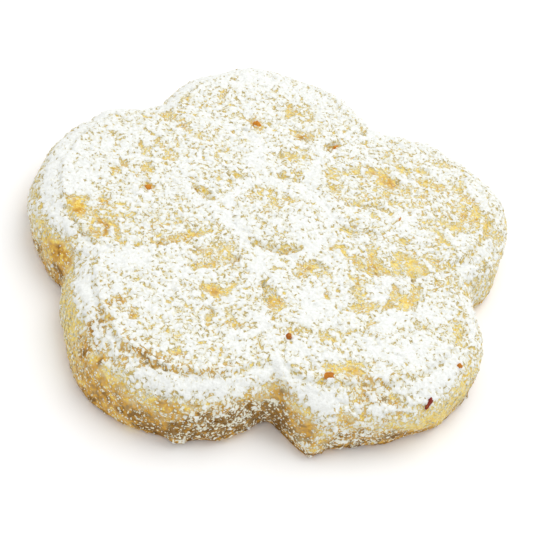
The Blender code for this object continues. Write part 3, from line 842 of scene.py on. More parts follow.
def emptied_group(name, inputs, outputs):
    """A shader group to be filled: its tree, its settings' sockets and its results' sockets.

    A group that other materials already use keeps its sockets, so their links stay.
    """
    group = bpy.data.node_groups.get(name)
    if group is None:
        group = bpy.data.node_groups.new(name, "ShaderNodeTree")
        for label in inputs:
            group.interface.new_socket(label, in_out="INPUT", socket_type="NodeSocketFloat")
        for label, kind in outputs:
            group.interface.new_socket(label, in_out="OUTPUT", socket_type=kind)
    group.nodes.clear()
    settings = add(group, "NodeGroupInput", "settings")
    results = add(group, "NodeGroupOutput", "results")
    return group, settings.outputs, results.inputs


def lace_group():
    """Shared effect: sieved sugar breaks into angular flecks, with gaps that open as it thins."""
    group, settings, results = emptied_group(
        "kahk_lace", ("Fleck size", "Depth"),
        (("Sugar", "NodeSocketFloat"), ("Thickness", "NodeSocketFloat")))
    place = add(group, "ShaderNodeTexCoord", "place").outputs["Object"]
    scale = calculate(group, "DIVIDE", 1.0, settings["Fleck size"], "flecks in a metre")
    warp = texture(group, "ShaderNodeTexNoise", "bends", place, scale, 1.0)
    centred = add(group, "ShaderNodeVectorMath", "bends both ways", operation="SUBTRACT")
    group.links.new(warp.outputs["Color"], centred.inputs[0])
    centred.inputs[1].default_value = (0.5, 0.5, 0.5)
    bent = add(group, "ShaderNodeVectorMath", "bent place", operation="MULTIPLY_ADD")
    group.links.new(centred.outputs[0], bent.inputs[0])
    group.links.new(calculate(group, "MULTIPLY", settings["Fleck size"], 0.9, "bend"), bent.inputs[1])
    group.links.new(place, bent.inputs[2])
    edges, flecks = (
        texture(group, "ShaderNodeTexVoronoi", label, bent.outputs[0], scale, feature=feature)
        for label, feature in (("edges of flecks", "DISTANCE_TO_EDGE"), ("flecks", "F1")))
    own = add(group, "ShaderNodeSeparateColor", "each fleck's own")
    group.links.new(flecks.outputs["Color"], own.inputs[0])
    fine = texture(group, "ShaderNodeTexNoise", "fine", place,
                   calculate(group, "MULTIPLY", scale, 1.6, "finer"), 0.4)
    inside = calculate(group, "MULTIPLY", calculate(
        group, "MINIMUM", edges.outputs["Distance"], 0.2, "inside a fleck"), 19.0, "fuller inside")
    uneven = calculate(group, "MULTIPLY", own.outputs[0], 2.4, "fleck by fleck")
    rough = calculate(group, "MULTIPLY", fine.outputs["Fac"], 12.0, "roughness")
    deep = calculate(group, "MULTIPLY", settings["Depth"], 1.35, "depth against roughness")
    thin = calculate(group, "MINIMUM", deep, 2.8, "up to well covered")
    more = calculate(group, "MULTIPLY", calculate(
        group, "SUBTRACT", deep, thin, "beyond that"), 0.6, "hides little more")
    total = calculate(group, "ADD", calculate(group, "ADD", thin, more, "cover"), calculate(
        group, "ADD", inside, calculate(group, "ADD", uneven, rough, "uneven"), "flecks in all"), "sum")
    flecked = calculate(group, "SUBTRACT", total, 10.1, "thickness of flecks")
    value = calculate(group, "MAXIMUM", flecked, specks(group, bent, scale, settings["Depth"]), "thickness")
    group.links.new(remap(group, value, -0.2, 0.4, "sugar or gap"), results["Sugar"])
    group.links.new(value, results["Thickness"])
    return group


def specks(group, place, scale, depth):
    """Single grains of sugar in the gaps between the flecks, fewer where there is little sugar."""
    cells = texture(group, "ShaderNodeTexVoronoi", "specks", place.outputs[0],
                    calculate(group, "MULTIPLY", scale, 2.1, "specks in a metre"), feature="F1")
    own = add(group, "ShaderNodeSeparateColor", "each speck's own")
    group.links.new(cells.outputs["Color"], own.inputs[0])
    chance = remap(group, depth, -9.0, 3.0, "chance of a speck", to_high=0.9)
    there = calculate(group, "MULTIPLY", calculate(
        group, "SUBTRACT", chance, own.outputs[1], "there or not"), 24.0, "there")
    inside = calculate(group, "MULTIPLY", calculate(
        group, "SUBTRACT", 0.47, cells.outputs["Distance"], "inside a speck"), 9.0, "fuller in the middle")
    return calculate(group, "MINIMUM", there, inside, "thickness of specks")


def crust_group(crust):
    """Shared effect: golden crust, browner where it is toasted, with painted shade in the crumb's hollows and
    in narrow gaps in the sugar.
    """
    group, settings, results = emptied_group(
        "kahk_crust", ("Toast", "Hollow", "Film", "Depth"),
        (("Color", "NodeSocketColor"), ("Dryness", "NodeSocketFloat"), ("Height", "NodeSocketFloat")))
    fine = add_grain(group, "fine crumb", 0.32 * MM, 0.1)
    coarse = add_grain(group, "coarse crumb", 1.1 * MM, 0.2)
    film = add_grain(group, "film of sugar", 0.45 * MM, 0.3)
    patchy = calculate(group, "MULTIPLY", calculate(
        group, "SUBTRACT", calculate(group, "ADD", coarse.outputs["Height"], film.outputs["Height"], "both"),
        1.0, "patchiness"), 1.6, "patchy oven")
    toast = calculate(group, "ADD", settings["Toast"], patchy, "toast with patches", clamp=True)
    colour = mix_colours(group, fine.outputs["Mask"], crust.golden, crust.pale, "crumb")
    light_toast = remap(group, toast, 0.05, 0.5, "light toast")
    colour = mix_colours(group, light_toast, colour, crust.amber, "amber")
    dark_toast = remap(group, toast, 0.45, 1.0, "dark toast")
    colour = mix_colours(group, dark_toast, colour, crust.toasted, "toasted")
    # Painted shade: the crust darkens towards the toasted colour in the crumb's hollows.
    colour = mix_colours(group, remap(group, settings["Hollow"], 0.0, 1.0, "hollows", to_high=0.3),
                         colour, crust.toasted, "painted shade in hollows")
    filmed = calculate(group, "MULTIPLY", settings["Film"], film.outputs["Mask"], "film that shows")
    colour = mix_colours(group, filmed, colour, crust.film, "filmed")
    # Painted shade: crust in the narrow gaps between flecks of sugar is mixed towards the shadow colour, less
    # where it is toasted.
    narrow = remap(group, settings["Depth"], -1.6, 2.8, "narrow gaps", to_high=0.95)
    pale = calculate(group, "SUBTRACT", 1.0, calculate(
        group, "MULTIPLY", light_toast, 0.85, "toast that shows in them"), "dulled by them")
    pale = calculate(group, "MULTIPLY", pale, remap(
        group, settings["Hollow"], 0.1, 0.8, "golden in the hollows", 1.0, 0.3), "dulled outside the hollows")
    colour = mix_colours(group, calculate(group, "MULTIPLY", narrow, pale, "painted shade in gaps"),
                         colour, crust.shadow, "shadow in narrow gaps")
    group.links.new(colour, results["Color"])
    group.links.new(coarse.outputs["Mask"], results["Dryness"])
    group.links.new(fine.outputs["Height"], results["Height"])
    return group


def kahk_material(name, crust, sugar, bumpy):
    """Crust with sugar over it, as the point attributes depth, toast, hollow and film tell."""
    material, tree, shader = new_tree(name)
    depth = attribute(tree, "depth")
    lace = add(tree, "ShaderNodeGroup", "lace of sugar", node_tree=lace_group())
    lace.inputs["Fleck size"].default_value = sugar.fleck
    tree.links.new(depth, lace.inputs["Depth"])
    crumb = add(tree, "ShaderNodeGroup", "crust", node_tree=crust_group(crust))
    for label in ("Toast", "Hollow", "Film"):
        tree.links.new(attribute(tree, label.lower()), crumb.inputs[label])
    tree.links.new(depth, crumb.inputs["Depth"])
    grain = add_grain(tree, "sugar grain", 0.16 * MM, 0.4)
    thickness = lace.outputs["Thickness"]
    hiding = calculate(tree, "ADD", thickness, calculate(
        tree, "MULTIPLY", depth, 0.4, "more in thick sugar"), "hides the crust")
    powder = mix_colours(tree, remap(tree, hiding, 0.9, 5.4, "thick enough"), sugar.cream, sugar.white,
                         "thin to thick")
    # The thin edge of a fleck is tinted by the crust showing through it, and darkened a little as painted
    # shade along the gap.
    powder = mix_colours(tree, remap(tree, thickness, 0.0, 0.6, "inside the edge"), sugar.edge, powder,
                         "tinted edge")
    # The sugar is mottled with painted shade of the little hollows between its grains.
    mottle = add_grain(tree, "mottled sugar", 0.34 * MM, 0.2)
    powder = mix_colours(tree, remap(tree, mottle.outputs["Mask"], 0.0, 1.0, "mottle", to_high=0.4),
                         powder, sugar.grain_shade, "mottled")
    colour = mix_colours(tree, lace.outputs["Sugar"], crumb.outputs["Color"], powder, "sugar on crust")
    tree.links.new(colour, shader.inputs["Base Color"])
    rough = calculate(tree, "MAXIMUM", lace.outputs["Sugar"], remap(
        tree, crumb.outputs["Dryness"], 0.0, 1.0, "dry and buttery", 0.62, 0.86), "roughness")
    tree.links.new(rough, shader.inputs["Roughness"])
    shader.inputs["Specular IOR Level"].default_value = 0.25
    crumbs = bump(tree, shader, crumb.outputs["Height"], 0.12 * MM, 0.8, "crumb relief")
    grains = bump(tree, shader, grain.outputs["Height"], 0.06 * MM, 0.6, "grain relief", crumbs)
    raised = remap(tree, thickness, -1.0, 2.0, "flecks' height")
    bump(tree, shader, raised, bumpy, 0.6, "fleck relief", grains)
    return material


def nut_material(nuts):
    """Toasted nut with a red-brown skin."""
    material, tree, shader = new_tree("chopped_nut")
    grain = add_grain(tree, "nut skin", 0.35 * MM, 0.4)
    uneven = calculate(tree, "SUBTRACT", grain.outputs["Height"], 0.5, "uneven")
    tone = calculate(tree, "ADD", attribute(tree, "tone"), uneven, "tone", clamp=True)
    colour = mix_colours(tree, tone, nuts.flesh, nuts.skin, "flesh to skin")
    tree.links.new(colour, shader.inputs["Base Color"])
    tree.links.new(remap(tree, grain.outputs["Mask"], 0.0, 1.0, "skin sheen", 0.55, 0.75),
                   shader.inputs["Roughness"])
    shader.inputs["Specular IOR Level"].default_value = 0.2
    bump(tree, shader, grain.outputs["Height"], 0.08 * MM, 0.6, "wrinkled skin")
    return material


# ---- Settings ---------------------------------------------------------------------------------

def length(name, description, default):
    return bpy.props.FloatProperty(
        name=name, description=description, default=default * MM, min=0.0, precision=5, unit="LENGTH")


def amount(name, description, default):
    return bpy.props.FloatProperty(name=name, description=description, default=default)


def colour(name, description, default):
    return bpy.props.FloatVectorProperty(
        name=name, description=description, default=default, size=3, min=0.0, max=1.0, subtype="COLOR")


def angle(name, description, degrees):
    return bpy.props.FloatProperty(
        name=name, description=description, default=math.radians(degrees), subtype="ANGLE")


def count(name, description, default):
    return bpy.props.IntProperty(name=name, description=description, default=default, min=0)


class KahkForm(bpy.types.PropertyGroup):
    """Sizes of the stamped biscuit, the same as the CAD solid's"""
    thickness: length("Thickness", "Underside to the top of the petals", 8.3)
    pad_rise: length("Pad rise", "The stamped petals stand this far above the rim", 0.8)
    shoulder_start: length("Shoulder start", "Height at which the wall begins to round over", 3.0)
    shoulder_width: length("Shoulder width", "How far in the rounding reaches", 3.4)
    foot_height: length("Foot height", "Height at which the foot begins to draw in", 2.2)
    foot_tuck: length("Foot tuck", "How far the foot draws in under the belly", 0.9)
    button_radius: length("Button radius", "Raised button in the middle", 5.2)
    ring_radius: length("Ring radius", "Sunk ring round the button", 6.3)
    ring_depth: length("Ring depth", "Depth of the sunk ring", 0.9)
    outline_depth: length("Outline depth", "Depth of the groove round each inner petal", 0.55)
    crease_depth: length("Crease depth", "Depth of the creases between the big petals", 0.6)
    flute_depth: length("Flute depth", "Depth of the flutes across the big petals", 0.22)


class KahkCrust(bpy.types.PropertyGroup):
    """Crumb and colours of the baked crust"""
    spacing: length("Spacing", "Distance between points of the crust's mesh", 0.205)
    grain_height: length("Grain height", "How far the crumb stands up", 0.11)
    pit_depth: length("Pit depth", "Depth of the small pits in the crumb", 0.16)
    bed: length("Bed", "The crust of the top lies this far lower, under its sugar", 0.12)
    pale: colour("Pale crumb", "Highest crumbs", (0.91, 0.76, 0.24))
    golden: colour("Golden crumb", "Usual crust", (0.77, 0.50, 0.07))
    amber: colour("Amber", "Lightly toasted crust", (0.60, 0.31, 0.04))
    # The toasted colour also gives the painted shade in the crumb's hollows and part of the foot's.
    toasted: colour("Toasted", "Well toasted crust and the foot", (0.22, 0.10, 0.012))
    shadow: colour("Shadow", "Crust in the narrow gaps between flecks of sugar", (0.42, 0.34, 0.16))
    film: colour("Film", "Crust under a film of sugar too thin to look white", (0.80, 0.73, 0.44))


class KahkSugar(bpy.types.PropertyGroup):
    """Depth, cover and colours of the icing sugar. Cover is a log-odds: 0 hides half the crust"""
    top_spacing: length("Spacing", "Distance between points of the coat", 0.155)
    fleck: length("Fleck", "Size of the flecks that the sugar breaks into", 0.62)
    fleck_depth: length("Fleck depth", "How far the shading raises the flecks", 0.12)
    depth: length("Depth", "Thickness of a well covered place", 0.15)
    clump_depth: length("Clump depth", "How far clumps stand above that", 0.10)
    top_cover: amount("Top cover", "Cover of the petals", 2.6)
    rim_cover: amount("Rim cover", "Extra cover along the rim", 0.7)
    barest: amount("Barest", "How bare the top's barest patches are", 3.4)
    groove_cover: amount("Groove cover", "Extra cover in the stamped lines", 3.2)
    wall_cover: amount("Wall cover", "Cover of the wall", -1.6)
    slope_loss: amount("Slope loss", "Cover lost where the top slopes", 2.8)
    clumping: amount("Clumping", "How strongly clumps and gaps break up the cover", 2.2)
    line_fill: amount("Line fill", "Share of the stamped lines' depth that sugar fills", 0.85)
    rim_fill: length("Rim fill", "Extra depth of the sugar that settled on the rim", 0.28)
    grains: count("Grains", "Loose grains of sugar", 5500)
    lumps: count("Lumps", "Larger lumps of sugar", 300)
    white: colour("White", "Thick sugar", (0.885, 0.90, 0.875))
    cream: colour("Cream", "Sugar so thin that the crust tints it", (0.83, 0.80, 0.62))
    # Painted shade of the little hollows between the grains, mottled over the white.
    grain_shade: colour("Grain shade", "Little hollows between the grains", (0.70, 0.705, 0.66))
    # Partly crust showing through thin sugar, partly painted shade along the gaps.
    edge: colour("Edge", "The thin edge of a fleck", (0.76, 0.66, 0.36))


class KahkNuts(bpy.types.PropertyGroup):
    """Chopped nuts that show in the crust"""
    depth: length("Depth", "Half thickness of a bit", 0.36)
    skin: colour("Skin", "Dark red skin", (0.20, 0.02, 0.01))
    flesh: colour("Flesh", "Toasted flesh", (0.64, 0.25, 0.02))


class KahkStage(bpy.types.PropertyGroup):
    """Floor, light and the camera"""
    floor: colour("Floor", "Pale floor", (0.96, 0.96, 0.96))
    elevation: angle("Elevation", "Camera's angle above the horizon", 46.0)
    roll: angle("Roll", "Camera's turn about its own axis", 14.03)
    distance: length("Distance", "Camera to the middle of the stamp", 142.6)
    lens: amount("Lens", "Focal length in millimetres on a 36 mm sensor", 74.98)
    sky: amount("Sky", "Brightness of the light from all round", 0.87)
    key: bpy.props.FloatProperty(
        name="Key light", description="Power of the large soft light above", default=0.58, subtype="POWER")


# ---- Operators: one for each piece or group of like pieces ------------------------------------

def toast_and_foot_shade(skin):
    """0 pale to 1 well toasted: the foot and low wall are browner than the stamped top, partly from real
    toasting and partly as painted shade towards the floor.
    """
    low = 1.0 - smooth_step(skin.z, 0.4, 6.8)
    patches = 0.35 * lumps(skin.x, skin.y, skin.z + 40.0, 4.0)
    streaks = 0.4 * lumps(0.3 * skin.x, 0.3 * skin.y, skin.z + 20.0, 0.7)
    placed = patch_sum(skin.x, skin.y + 0.25, BARE_PATCHES, 6) * (1.0 - low)
    # The wall places' toast is partly real toast and partly painted shade, and painted light where it is
    # negative.
    placed += wall_sum(skin.direction, skin.z, WALL_PLACES, 5) * smooth_step(3.4 - skin.inset, 0.0, 1.0)
    placed += 0.45 * swell(skin.direction, STEP_WEAR) * hump(skin.inset - STEP_INSET, 1.0)
    # The foot's extra browning is partly real toast and partly painted shade towards the floor.
    base = LEAST_TOAST + FOOT_TOAST_AND_SHADE * low
    return np.clip(base + patches * (0.3 + 0.7 * low) + streaks * low + placed, 0.0, 1.0)


def sugar_film(cover, toast, z):
    """How far a film of sugar too thin to look white veils the crust, 0 to 1."""
    between_flecks = 1.0 - 0.6 * smooth_step(cover, -1.5, 1.5)
    untoasted = 1.0 - 0.8 * smooth_step(toast, 0.35, 0.85)
    return smooth_step(cover, -7.5, 1.0) * between_flecks * untoasted * smooth_step(z, 0.3, 2.5)


class KAHK_OT_dough(bpy.types.Operator):
    """Builds the baked body of the biscuit"""
    bl_idname = "kahk.dough"
    bl_label = "Baked dough"

    def execute(self, context):
        scene = context.scene
        form, crust, sugar = scene.kahk_form, scene.kahk_crust, scene.kahk_sugar
        clear_piece("baked_dough")
        skin, normals, relief, cover = sugared_skin(form, crust, sugar, in_mm(crust.spacing))
        relief *= smooth_step(skin.z, 0.0, 0.6)
        points = skin.points + normals * (relief - sugar_bed(crust, skin.z))[:, None]
        depth = broken_cover(sugar, skin, cover)
        depth -= 6.0 * (1.0 - smooth_step(skin.z, 0.2, 1.2))
        points, triangles, under = self.close_underside(skin, points)
        extra = len(points) - len(skin.points)
        brown = UNDERSIDE_TOAST + 0.5 * lumps(*points[-extra:].T, 5.0)
        none = np.zeros(extra)
        toast = toast_and_foot_shade(skin)
        piece = make_piece(
            "baked_dough", points, triangles, kahk_material("baked_crust", crust, sugar, sugar.fleck_depth),
            "baked_dough",
            toast=np.append(toast, brown),
            film=np.append(sugar_film(cover, toast, skin.z), none),
            hollow=np.append(hollows(relief), none),
            depth=np.append(depth, none + NO_SUGAR))
        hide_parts(NODE)
        lay_map(piece, self.map_corners(skin, points, triangles, under))
        return {"FINISHED"}

    def close_underside(self, skin, points):
        """Adds the flat underside, a little pitted, from the foot's last row to the middle."""
        last = range(len(points) - skin.columns, len(points))
        rim = points[last.start:last.stop]
        made, outer, rows, total = [], last, [], len(points)
        for k in range(UNDERSIDE_RINGS - 1, 0, -1):
            n = 6 * k
            share = k / UNDERSIDE_RINGS
            at = np.arange(n) * skin.columns / n
            near = rim[np.floor(at).astype(int) % skin.columns]
            ring = near * share
            pits = UNDERSIDE_PIT * smooth_step(lumps(ring[:, 0], ring[:, 1], 70.0, 1.6), 0.1, 0.4)
            ring[:, 2] = pits * smooth_step(1.0 - share, 0.0, 0.05)
            inner = range(total, total + n)
            made += [(a, c, b) for a, b, c in between_rings(inner, outer)]
            rows.append(ring)
            outer, total = inner, total + n
        rows.append(np.zeros((1, 3)))
        made += [(a, c, b) for a, b, c in between_rings(range(total, total + 1), outer)]
        under = np.zeros(len(skin.triangles) + len(made), bool)
        under[len(skin.triangles):] = True
        return np.concatenate([points] + rows), np.concatenate([skin.triangles, np.array(made)]), under

    def map_corners(self, skin, points, triangles, under):
        """Top and underside as seen from above and below, and the wall unrolled beneath them."""
        wall = (triangles.min(axis=1) >= skin.top_count) & ~under
        from_above = map_from_above(points)
        corners = from_above[triangles] * TOP_MAP
        corners[under] = from_above[triangles[under]] * SIDE_MAP + (0.63, 0.0)
        row = (np.arange(len(points)) - skin.top_count) // skin.columns
        down = np.clip(row / (skin.rows - 1), 0.0, 1.0)
        direction = np.append(skin.direction, np.zeros(len(points) - len(skin.direction)))
        unrolled = map_unrolled(direction, down, triangles[wall], 3).reshape(-1, 3, 2)
        corners[wall] = unrolled * (1.0, SIDE_MAP) + (0.0, 0.635)
        return corners.reshape(-1, 2)


class KAHK_OT_sugar_coat(bpy.types.Operator):
    """Sieves the coat of icing sugar over the top and the wall"""
    bl_idname = "kahk.sugar_coat"
    bl_label = "Coat of sugar"

    def execute(self, context):
        scene = context.scene
        form, crust, sugar = scene.kahk_form, scene.kahk_crust, scene.kahk_sugar
        clear_piece("sugar_top")
        clear_piece("sugar_side")
        skin, normals, relief, cover = sugared_skin(form, crust, sugar, in_mm(sugar.top_spacing))
        depth = broken_cover(sugar, skin, cover)
        thick = in_mm(sugar.depth) * (1.0 - np.exp(-np.maximum(depth + THINNEST, 0.0) / THICKENING))
        clumps = in_mm(sugar.clump_depth) * smooth_step(depth, 1.0, 5.0)
        rise = relief + COAT_LIFT + thick + clumps - sugar_bed(crust, skin.z)
        rough = HEAP_ROUGHNESS * lumps(skin.x, skin.y, skin.z + 90.0, 1.5)
        heaped = swell(skin.direction, RIM_HEAPS) + rough
        rise += heaped * hump(skin.inset - HEAP_INSET, 1.3) * smooth_step(depth, 0.0, 2.0)
        points = skin.points + normals * rise[:, None]
        fill = sugar_fill(sugar, form, skin.x, skin.y, skin.inset, cover)
        points[:, 2] += fill * smooth_step(depth, COAT_END, COAT_END + 1.5)
        shown = depth[skin.triangles].max(axis=1) > COAT_END
        above_foot = skin.z[skin.triangles].min(axis=1) > COAT_FOOT
        down = np.clip((np.arange(len(points)) - skin.top_count) // skin.columns / (skin.rows - 1), 0.0, 1.0)
        toast = toast_and_foot_shade(skin)
        film = sugar_film(cover, toast, skin.z)
        hollow = hollows(relief)
        material = kahk_material("icing_sugar", crust, sugar, sugar.fleck_depth)
        chosen = {"sugar_top": shown & skin.on_top, "sugar_side": shown & ~skin.on_top & above_foot}
        for name, picked in chosen.items():
            at, kept, direction, row, *painted = keep_used(
                points, skin.triangles[picked], skin.direction, down, depth, toast, film, hollow)
            piece = make_piece(name, at, kept, material, "icing_sugar",
                               **dict(zip(("depth", "toast", "film", "hollow"), painted)))
            if name == "sugar_top":
                lay_flat_map(piece, at, kept)
            else:
                lay_map(piece, map_unrolled(direction, row, kept))
        return {"FINISHED"}


def pebbles(kinds, subdivisions, roughness):
    """Lumpy pebbles of unit radius: their points, and the triangles they all share."""
    mesh = bmesh.new()
    bmesh.ops.create_icosphere(mesh, subdivisions=subdivisions, radius=1.0)
    ball = np.array([vert.co[:] for vert in mesh.verts])
    triangles = np.array([[vert.index for vert in face.verts] for face in mesh.faces])
    mesh.free()
    swells = [1.0 + roughness * lumps(*(ball + 7.3 * kind).T, 0.8) for kind in range(kinds)]
    return np.array([ball * swell_out[:, None] for swell_out in swells]), triangles


def random_turns(draw, number):
    """Rotation matrices in random directions."""
    w, x, y, z = draw.normal(size=(number, 4)).T
    size = np.sqrt(w * w + x * x + y * y + z * z)
    w, x, y, z = w / size, x / size, y / size, z / size
    return np.stack([
        1 - 2 * (y * y + z * z), 2 * (x * y - w * z), 2 * (x * z + w * y),
        2 * (x * y + w * z), 1 - 2 * (x * x + z * z), 2 * (y * z - w * x),
        2 * (x * z - w * y), 2 * (y * z + w * x), 1 - 2 * (x * x + y * y),
    ], axis=-1).reshape(number, 3, 3)


def scatter(draw, at, sizes, shapes, triangles):
    """One mesh of many pebbles: points and triangles."""
    number = len(at)
    chosen = shapes[draw.integers(len(shapes), size=number)]
    stretch = draw.uniform(0.7, 1.25, size=(number, 1, 3))
    turned = np.einsum("nij,nvj->nvi", random_turns(draw, number), chosen * stretch)
    points = turned * sizes[:, None, None] + at[:, None, :]
    first = np.arange(number)[:, None, None] * shapes.shape[1]
    return points.reshape(-1, 3), (triangles[None] + first).reshape(-1, 3)


def sample_surface(draw, form, crust, sugar, number):
    """Random places on the biscuit, with their normals and their cover of sugar."""
    skin, normals, relief, cover = sugared_skin(form, crust, sugar, SCATTER_SPACING)
    points = skin.points + normals * (relief - sugar_bed(crust, skin.z))[:, None]
    a, b, c = (points[skin.triangles[:, n]] for n in range(3))
    area = np.linalg.norm(np.cross(b - a, c - a), axis=1)
    picked = draw.choice(len(area), size=number, p=area / area.sum())
    weights = draw.dirichlet((1.0, 1.0, 1.0), size=number)
    corners = skin.triangles[picked]

    def blend(values):
        return np.einsum("nk,nk...->n...", weights, values[corners])

    return blend(points), blend(normals), blend(cover)


# Two kinds of loose sugar: seed of the draws, places tried for each one kept, how likely a place
# keeps it (at least, usual, more with cover), radius (least, extra, shape of the draw), how much of
# the coat's depth and of its own radius it stands up by, pebbles' fineness and roughness, share of
# the flecks' shading, and cover of sugar on it.
GRAIN = {"seed": 11, "tries": 3, "keeps": (0.25, 0.55, 0.08), "radius": (0.07, 0.07, 1.5),
         "on_coat": 1.0, "stands": 0.2, "pebble": (1, 0.5), "shading": 0.3, "cover": 7.0}
LUMP = {"seed": 23, "tries": 4, "keeps": (0.05, 0.45, 0.15), "radius": (0.12, 0.14, 1.3),
        "on_coat": 0.0, "stands": 0.4, "pebble": (2, 0.7), "shading": 0.5, "cover": 6.0}
PEBBLE_KINDS = 6


def scatter_sugar(context, name, material_name, number, kind):
    """Makes one piece of loose sugar, strewn over the biscuit."""
    scene = context.scene
    form, crust, sugar = scene.kahk_form, scene.kahk_crust, scene.kahk_sugar
    clear_piece(name)
    draw = np.random.default_rng(kind["seed"])
    at, normals, cover = sample_surface(draw, form, crust, sugar, kind["tries"] * number)
    least, usual, more = kind["keeps"]
    likely = np.clip(usual + more * cover, least, 1.0) * smooth_step(at[:, 2], 0.3, 1.5)
    kept = np.flatnonzero(draw.uniform(size=len(at)) < likely)[:number]
    smallest, extra, shape = kind["radius"]
    sizes = smallest + extra * draw.beta(shape, 4.0, size=len(kept))
    coat = kind["on_coat"] * in_mm(sugar.depth) * smooth_step(cover[kept], -1.0, 3.0)
    places = at[kept] + normals[kept] * (coat + kind["stands"] * sizes)[:, None]
    shapes, triangles = pebbles(PEBBLE_KINDS, *kind["pebble"])
    points, made = scatter(draw, places, sizes, shapes, triangles)
    material = kahk_material(material_name, crust, sugar, kind["shading"] * sugar.fleck_depth)
    piece = make_piece(name, points, made, material, "icing_sugar",
                       depth=np.full(len(points), kind["cover"]))
    lay_flat_map(piece, points, made)
    return {"FINISHED"}


class KAHK_OT_sugar_grains(bpy.types.Operator):
    """Scatters loose grains of sugar, most of them where sugar lies thickest"""
    bl_idname = "kahk.sugar_grains"
    bl_label = "Grains of sugar"

    def execute(self, context):
        return scatter_sugar(context, "sugar_grains", "loose_sugar", context.scene.kahk_sugar.grains, GRAIN)


class KAHK_OT_sugar_lumps(bpy.types.Operator):
    """Drops the larger lumps of sugar that the sieve let through"""
    bl_idname = "kahk.sugar_lumps"
    bl_label = "Lumps of sugar"

    def execute(self, context):
        return scatter_sugar(context, "sugar_lumps", "sugar_lump", context.scene.kahk_sugar.lumps, LUMP)


class KAHK_OT_nut_bits(bpy.types.Operator):
    """Sets the chopped nuts into the crust"""
    bl_idname = "kahk.nut_bits"
    bl_label = "Chopped nuts"

    def execute(self, context):
        scene = context.scene
        form, nuts = scene.kahk_form, scene.kahk_nuts
        clear_piece("nut_bits")
        shapes, ball = pebbles(len(NUT_BITS), 4, 0.55)
        rows, made = [], []
        for n, (x, y, half_length, half_width, turn) in enumerate(NUT_BITS):
            step = np.array((0.0, -0.5, 0.5, 0.0, 0.0))
            z = height_at(form, x + step, y + np.roll(step, 2))
            slope = Vector((z[1] - z[2], z[3] - z[4], 1.0)).normalized()
            lean = Vector((0.0, 0.0, 1.0)).rotation_difference(slope).to_matrix()
            turned = np.array(lean @ Matrix.Rotation(math.radians(turn), 3, "Z"))
            size = np.array((half_length, half_width, in_mm(nuts.depth)))
            lift = DARK_LIFT if NUT_TONES[n] > 0.3 else NUT_LIFT
            middle = np.array((x, y, z[0])) + (lift - NUT_SINK) * np.array(slope)
            rows.append((shapes[n] * size) @ turned.T + middle)
            made.append(ball + n * len(shapes[n]))
        points, triangles = np.concatenate(rows), np.concatenate(made)
        tone = np.repeat(NUT_TONES, shapes.shape[1])
        piece = make_piece("nut_bits", points, triangles, nut_material(nuts), "chopped_nut", tone=tone)
        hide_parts(NODE)
        lay_flat_map(piece, points, triangles)
        return {"FINISHED"}


FLOOR_HALF_SIZE = 1.5
KEY_PLACE = (0.10, 0.11, 0.355)
KEY_SIZE = 0.30
CAMERA_SHIFT = (0.0046, -0.0153)     # with the lens and the roll, from the fit that gave the lobes


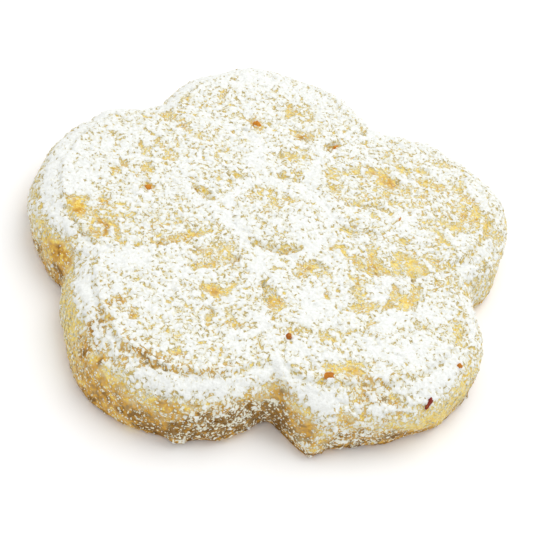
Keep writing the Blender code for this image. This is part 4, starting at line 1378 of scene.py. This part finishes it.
class KAHK_OT_stage(bpy.types.Operator):
    """Sets the pale floor, the soft light and the camera"""
    bl_idname = "kahk.stage"
    bl_label = "Stage"

    def execute(self, context):
        stage = context.scene.kahk_stage
        for name in ("floor", "key_light", "camera"):
            clear_piece(name)
        self.floor(context, stage)
        self.light(context, stage)
        self.camera(context, stage)
        return {"FINISHED"}

    def floor(self, context, stage):
        mesh = bmesh.new()
        bmesh.ops.create_grid(mesh, x_segments=1, y_segments=1, size=FLOOR_HALF_SIZE)
        data = bpy.data.meshes.new("floor")
        mesh.to_mesh(data)
        mesh.free()
        material, _, shader = new_tree("pale_floor")
        shader.inputs["Base Color"].default_value = (*stage.floor, 1.0)
        shader.inputs["Roughness"].default_value = 0.9
        shader.inputs["Specular IOR Level"].default_value = 0.1
        data.materials.append(material)
        floor = bpy.data.objects.new("floor", data)
        context.scene.collection.objects.link(floor)

    def light(self, context, stage):
        world = bpy.data.worlds.new("soft_sky")
        world.use_nodes = True
        sky = world.node_tree.nodes["Background"]
        sky.inputs["Color"].default_value = (1.0, 1.0, 1.0, 1.0)
        sky.inputs["Strength"].default_value = stage.sky
        context.scene.world = world
        lamp = bpy.data.lights.new("key_light", "AREA")
        lamp.shape = "DISK"
        lamp.size = KEY_SIZE
        lamp.energy = stage.key
        key = bpy.data.objects.new("key_light", lamp)
        place = Vector(KEY_PLACE)
        key.matrix_world = Matrix.Translation(place) @ (-place).to_track_quat("-Z", "Y").to_matrix().to_4x4()
        context.scene.collection.objects.link(key)
        context.scene.view_settings.view_transform = "Standard"

    def camera(self, context, stage):
        data = bpy.data.cameras.new("camera")
        data.sensor_width = 36.0
        data.lens = stage.lens
        data.shift_x, data.shift_y = CAMERA_SHIFT
        data.clip_start = 0.005
        camera = bpy.data.objects.new("camera", data)
        target = Vector(to_frame((0.0, 0.0, 0.0)))
        back = Vector((0.0, -math.cos(stage.elevation), math.sin(stage.elevation)))
        look = (-back).to_track_quat("-Z", "Y").to_matrix().to_4x4()
        camera.matrix_world = (Matrix.Translation(target + back * stage.distance)
                               @ look @ Matrix.Rotation(stage.roll, 4, "Z"))
        context.scene.collection.objects.link(camera)
        context.scene.camera = camera


OPERATORS = (
    KAHK_OT_dough,
    KAHK_OT_sugar_coat,
    KAHK_OT_sugar_grains,
    KAHK_OT_sugar_lumps,
    KAHK_OT_nut_bits,
    KAHK_OT_stage,
)
SETTINGS = {
    "kahk_form": KahkForm,
    "kahk_crust": KahkCrust,
    "kahk_sugar": KahkSugar,
    "kahk_nuts": KahkNuts,
    "kahk_stage": KahkStage,
}


class VIEW3D_PT_kahk(bpy.types.Panel):
    """Lists the biscuit's pieces and their settings"""
    bl_label = "Nut kahk"
    bl_space_type = "VIEW_3D"
    bl_region_type = "UI"
    bl_category = "Kahk"

    def draw(self, context):
        for operator in OPERATORS:
            self.layout.operator(operator.bl_idname)
        for name, kind in SETTINGS.items():
            box = self.layout.box()
            box.label(text=kind.__doc__)
            for key in kind.__annotations__:
                box.prop(getattr(context.scene, name), key)


def register():
    for kind in (*SETTINGS.values(), *OPERATORS, VIEW3D_PT_kahk):
        bpy.utils.register_class(kind)
    for name, kind in SETTINGS.items():
        setattr(bpy.types.Scene, name, bpy.props.PointerProperty(type=kind))


def unregister():
    for name in SETTINGS:
        delattr(bpy.types.Scene, name)
    for kind in reversed((*SETTINGS.values(), *OPERATORS, VIEW3D_PT_kahk)):
        bpy.utils.unregister_class(kind)


def main():
    register()
    bpy.ops.kahk.dough()
    bpy.ops.kahk.sugar_coat()
    bpy.ops.kahk.sugar_grains()
    bpy.ops.kahk.sugar_lumps()
    bpy.ops.kahk.nut_bits()
    bpy.ops.kahk.stage()


if __name__ == "__main__":
    main()
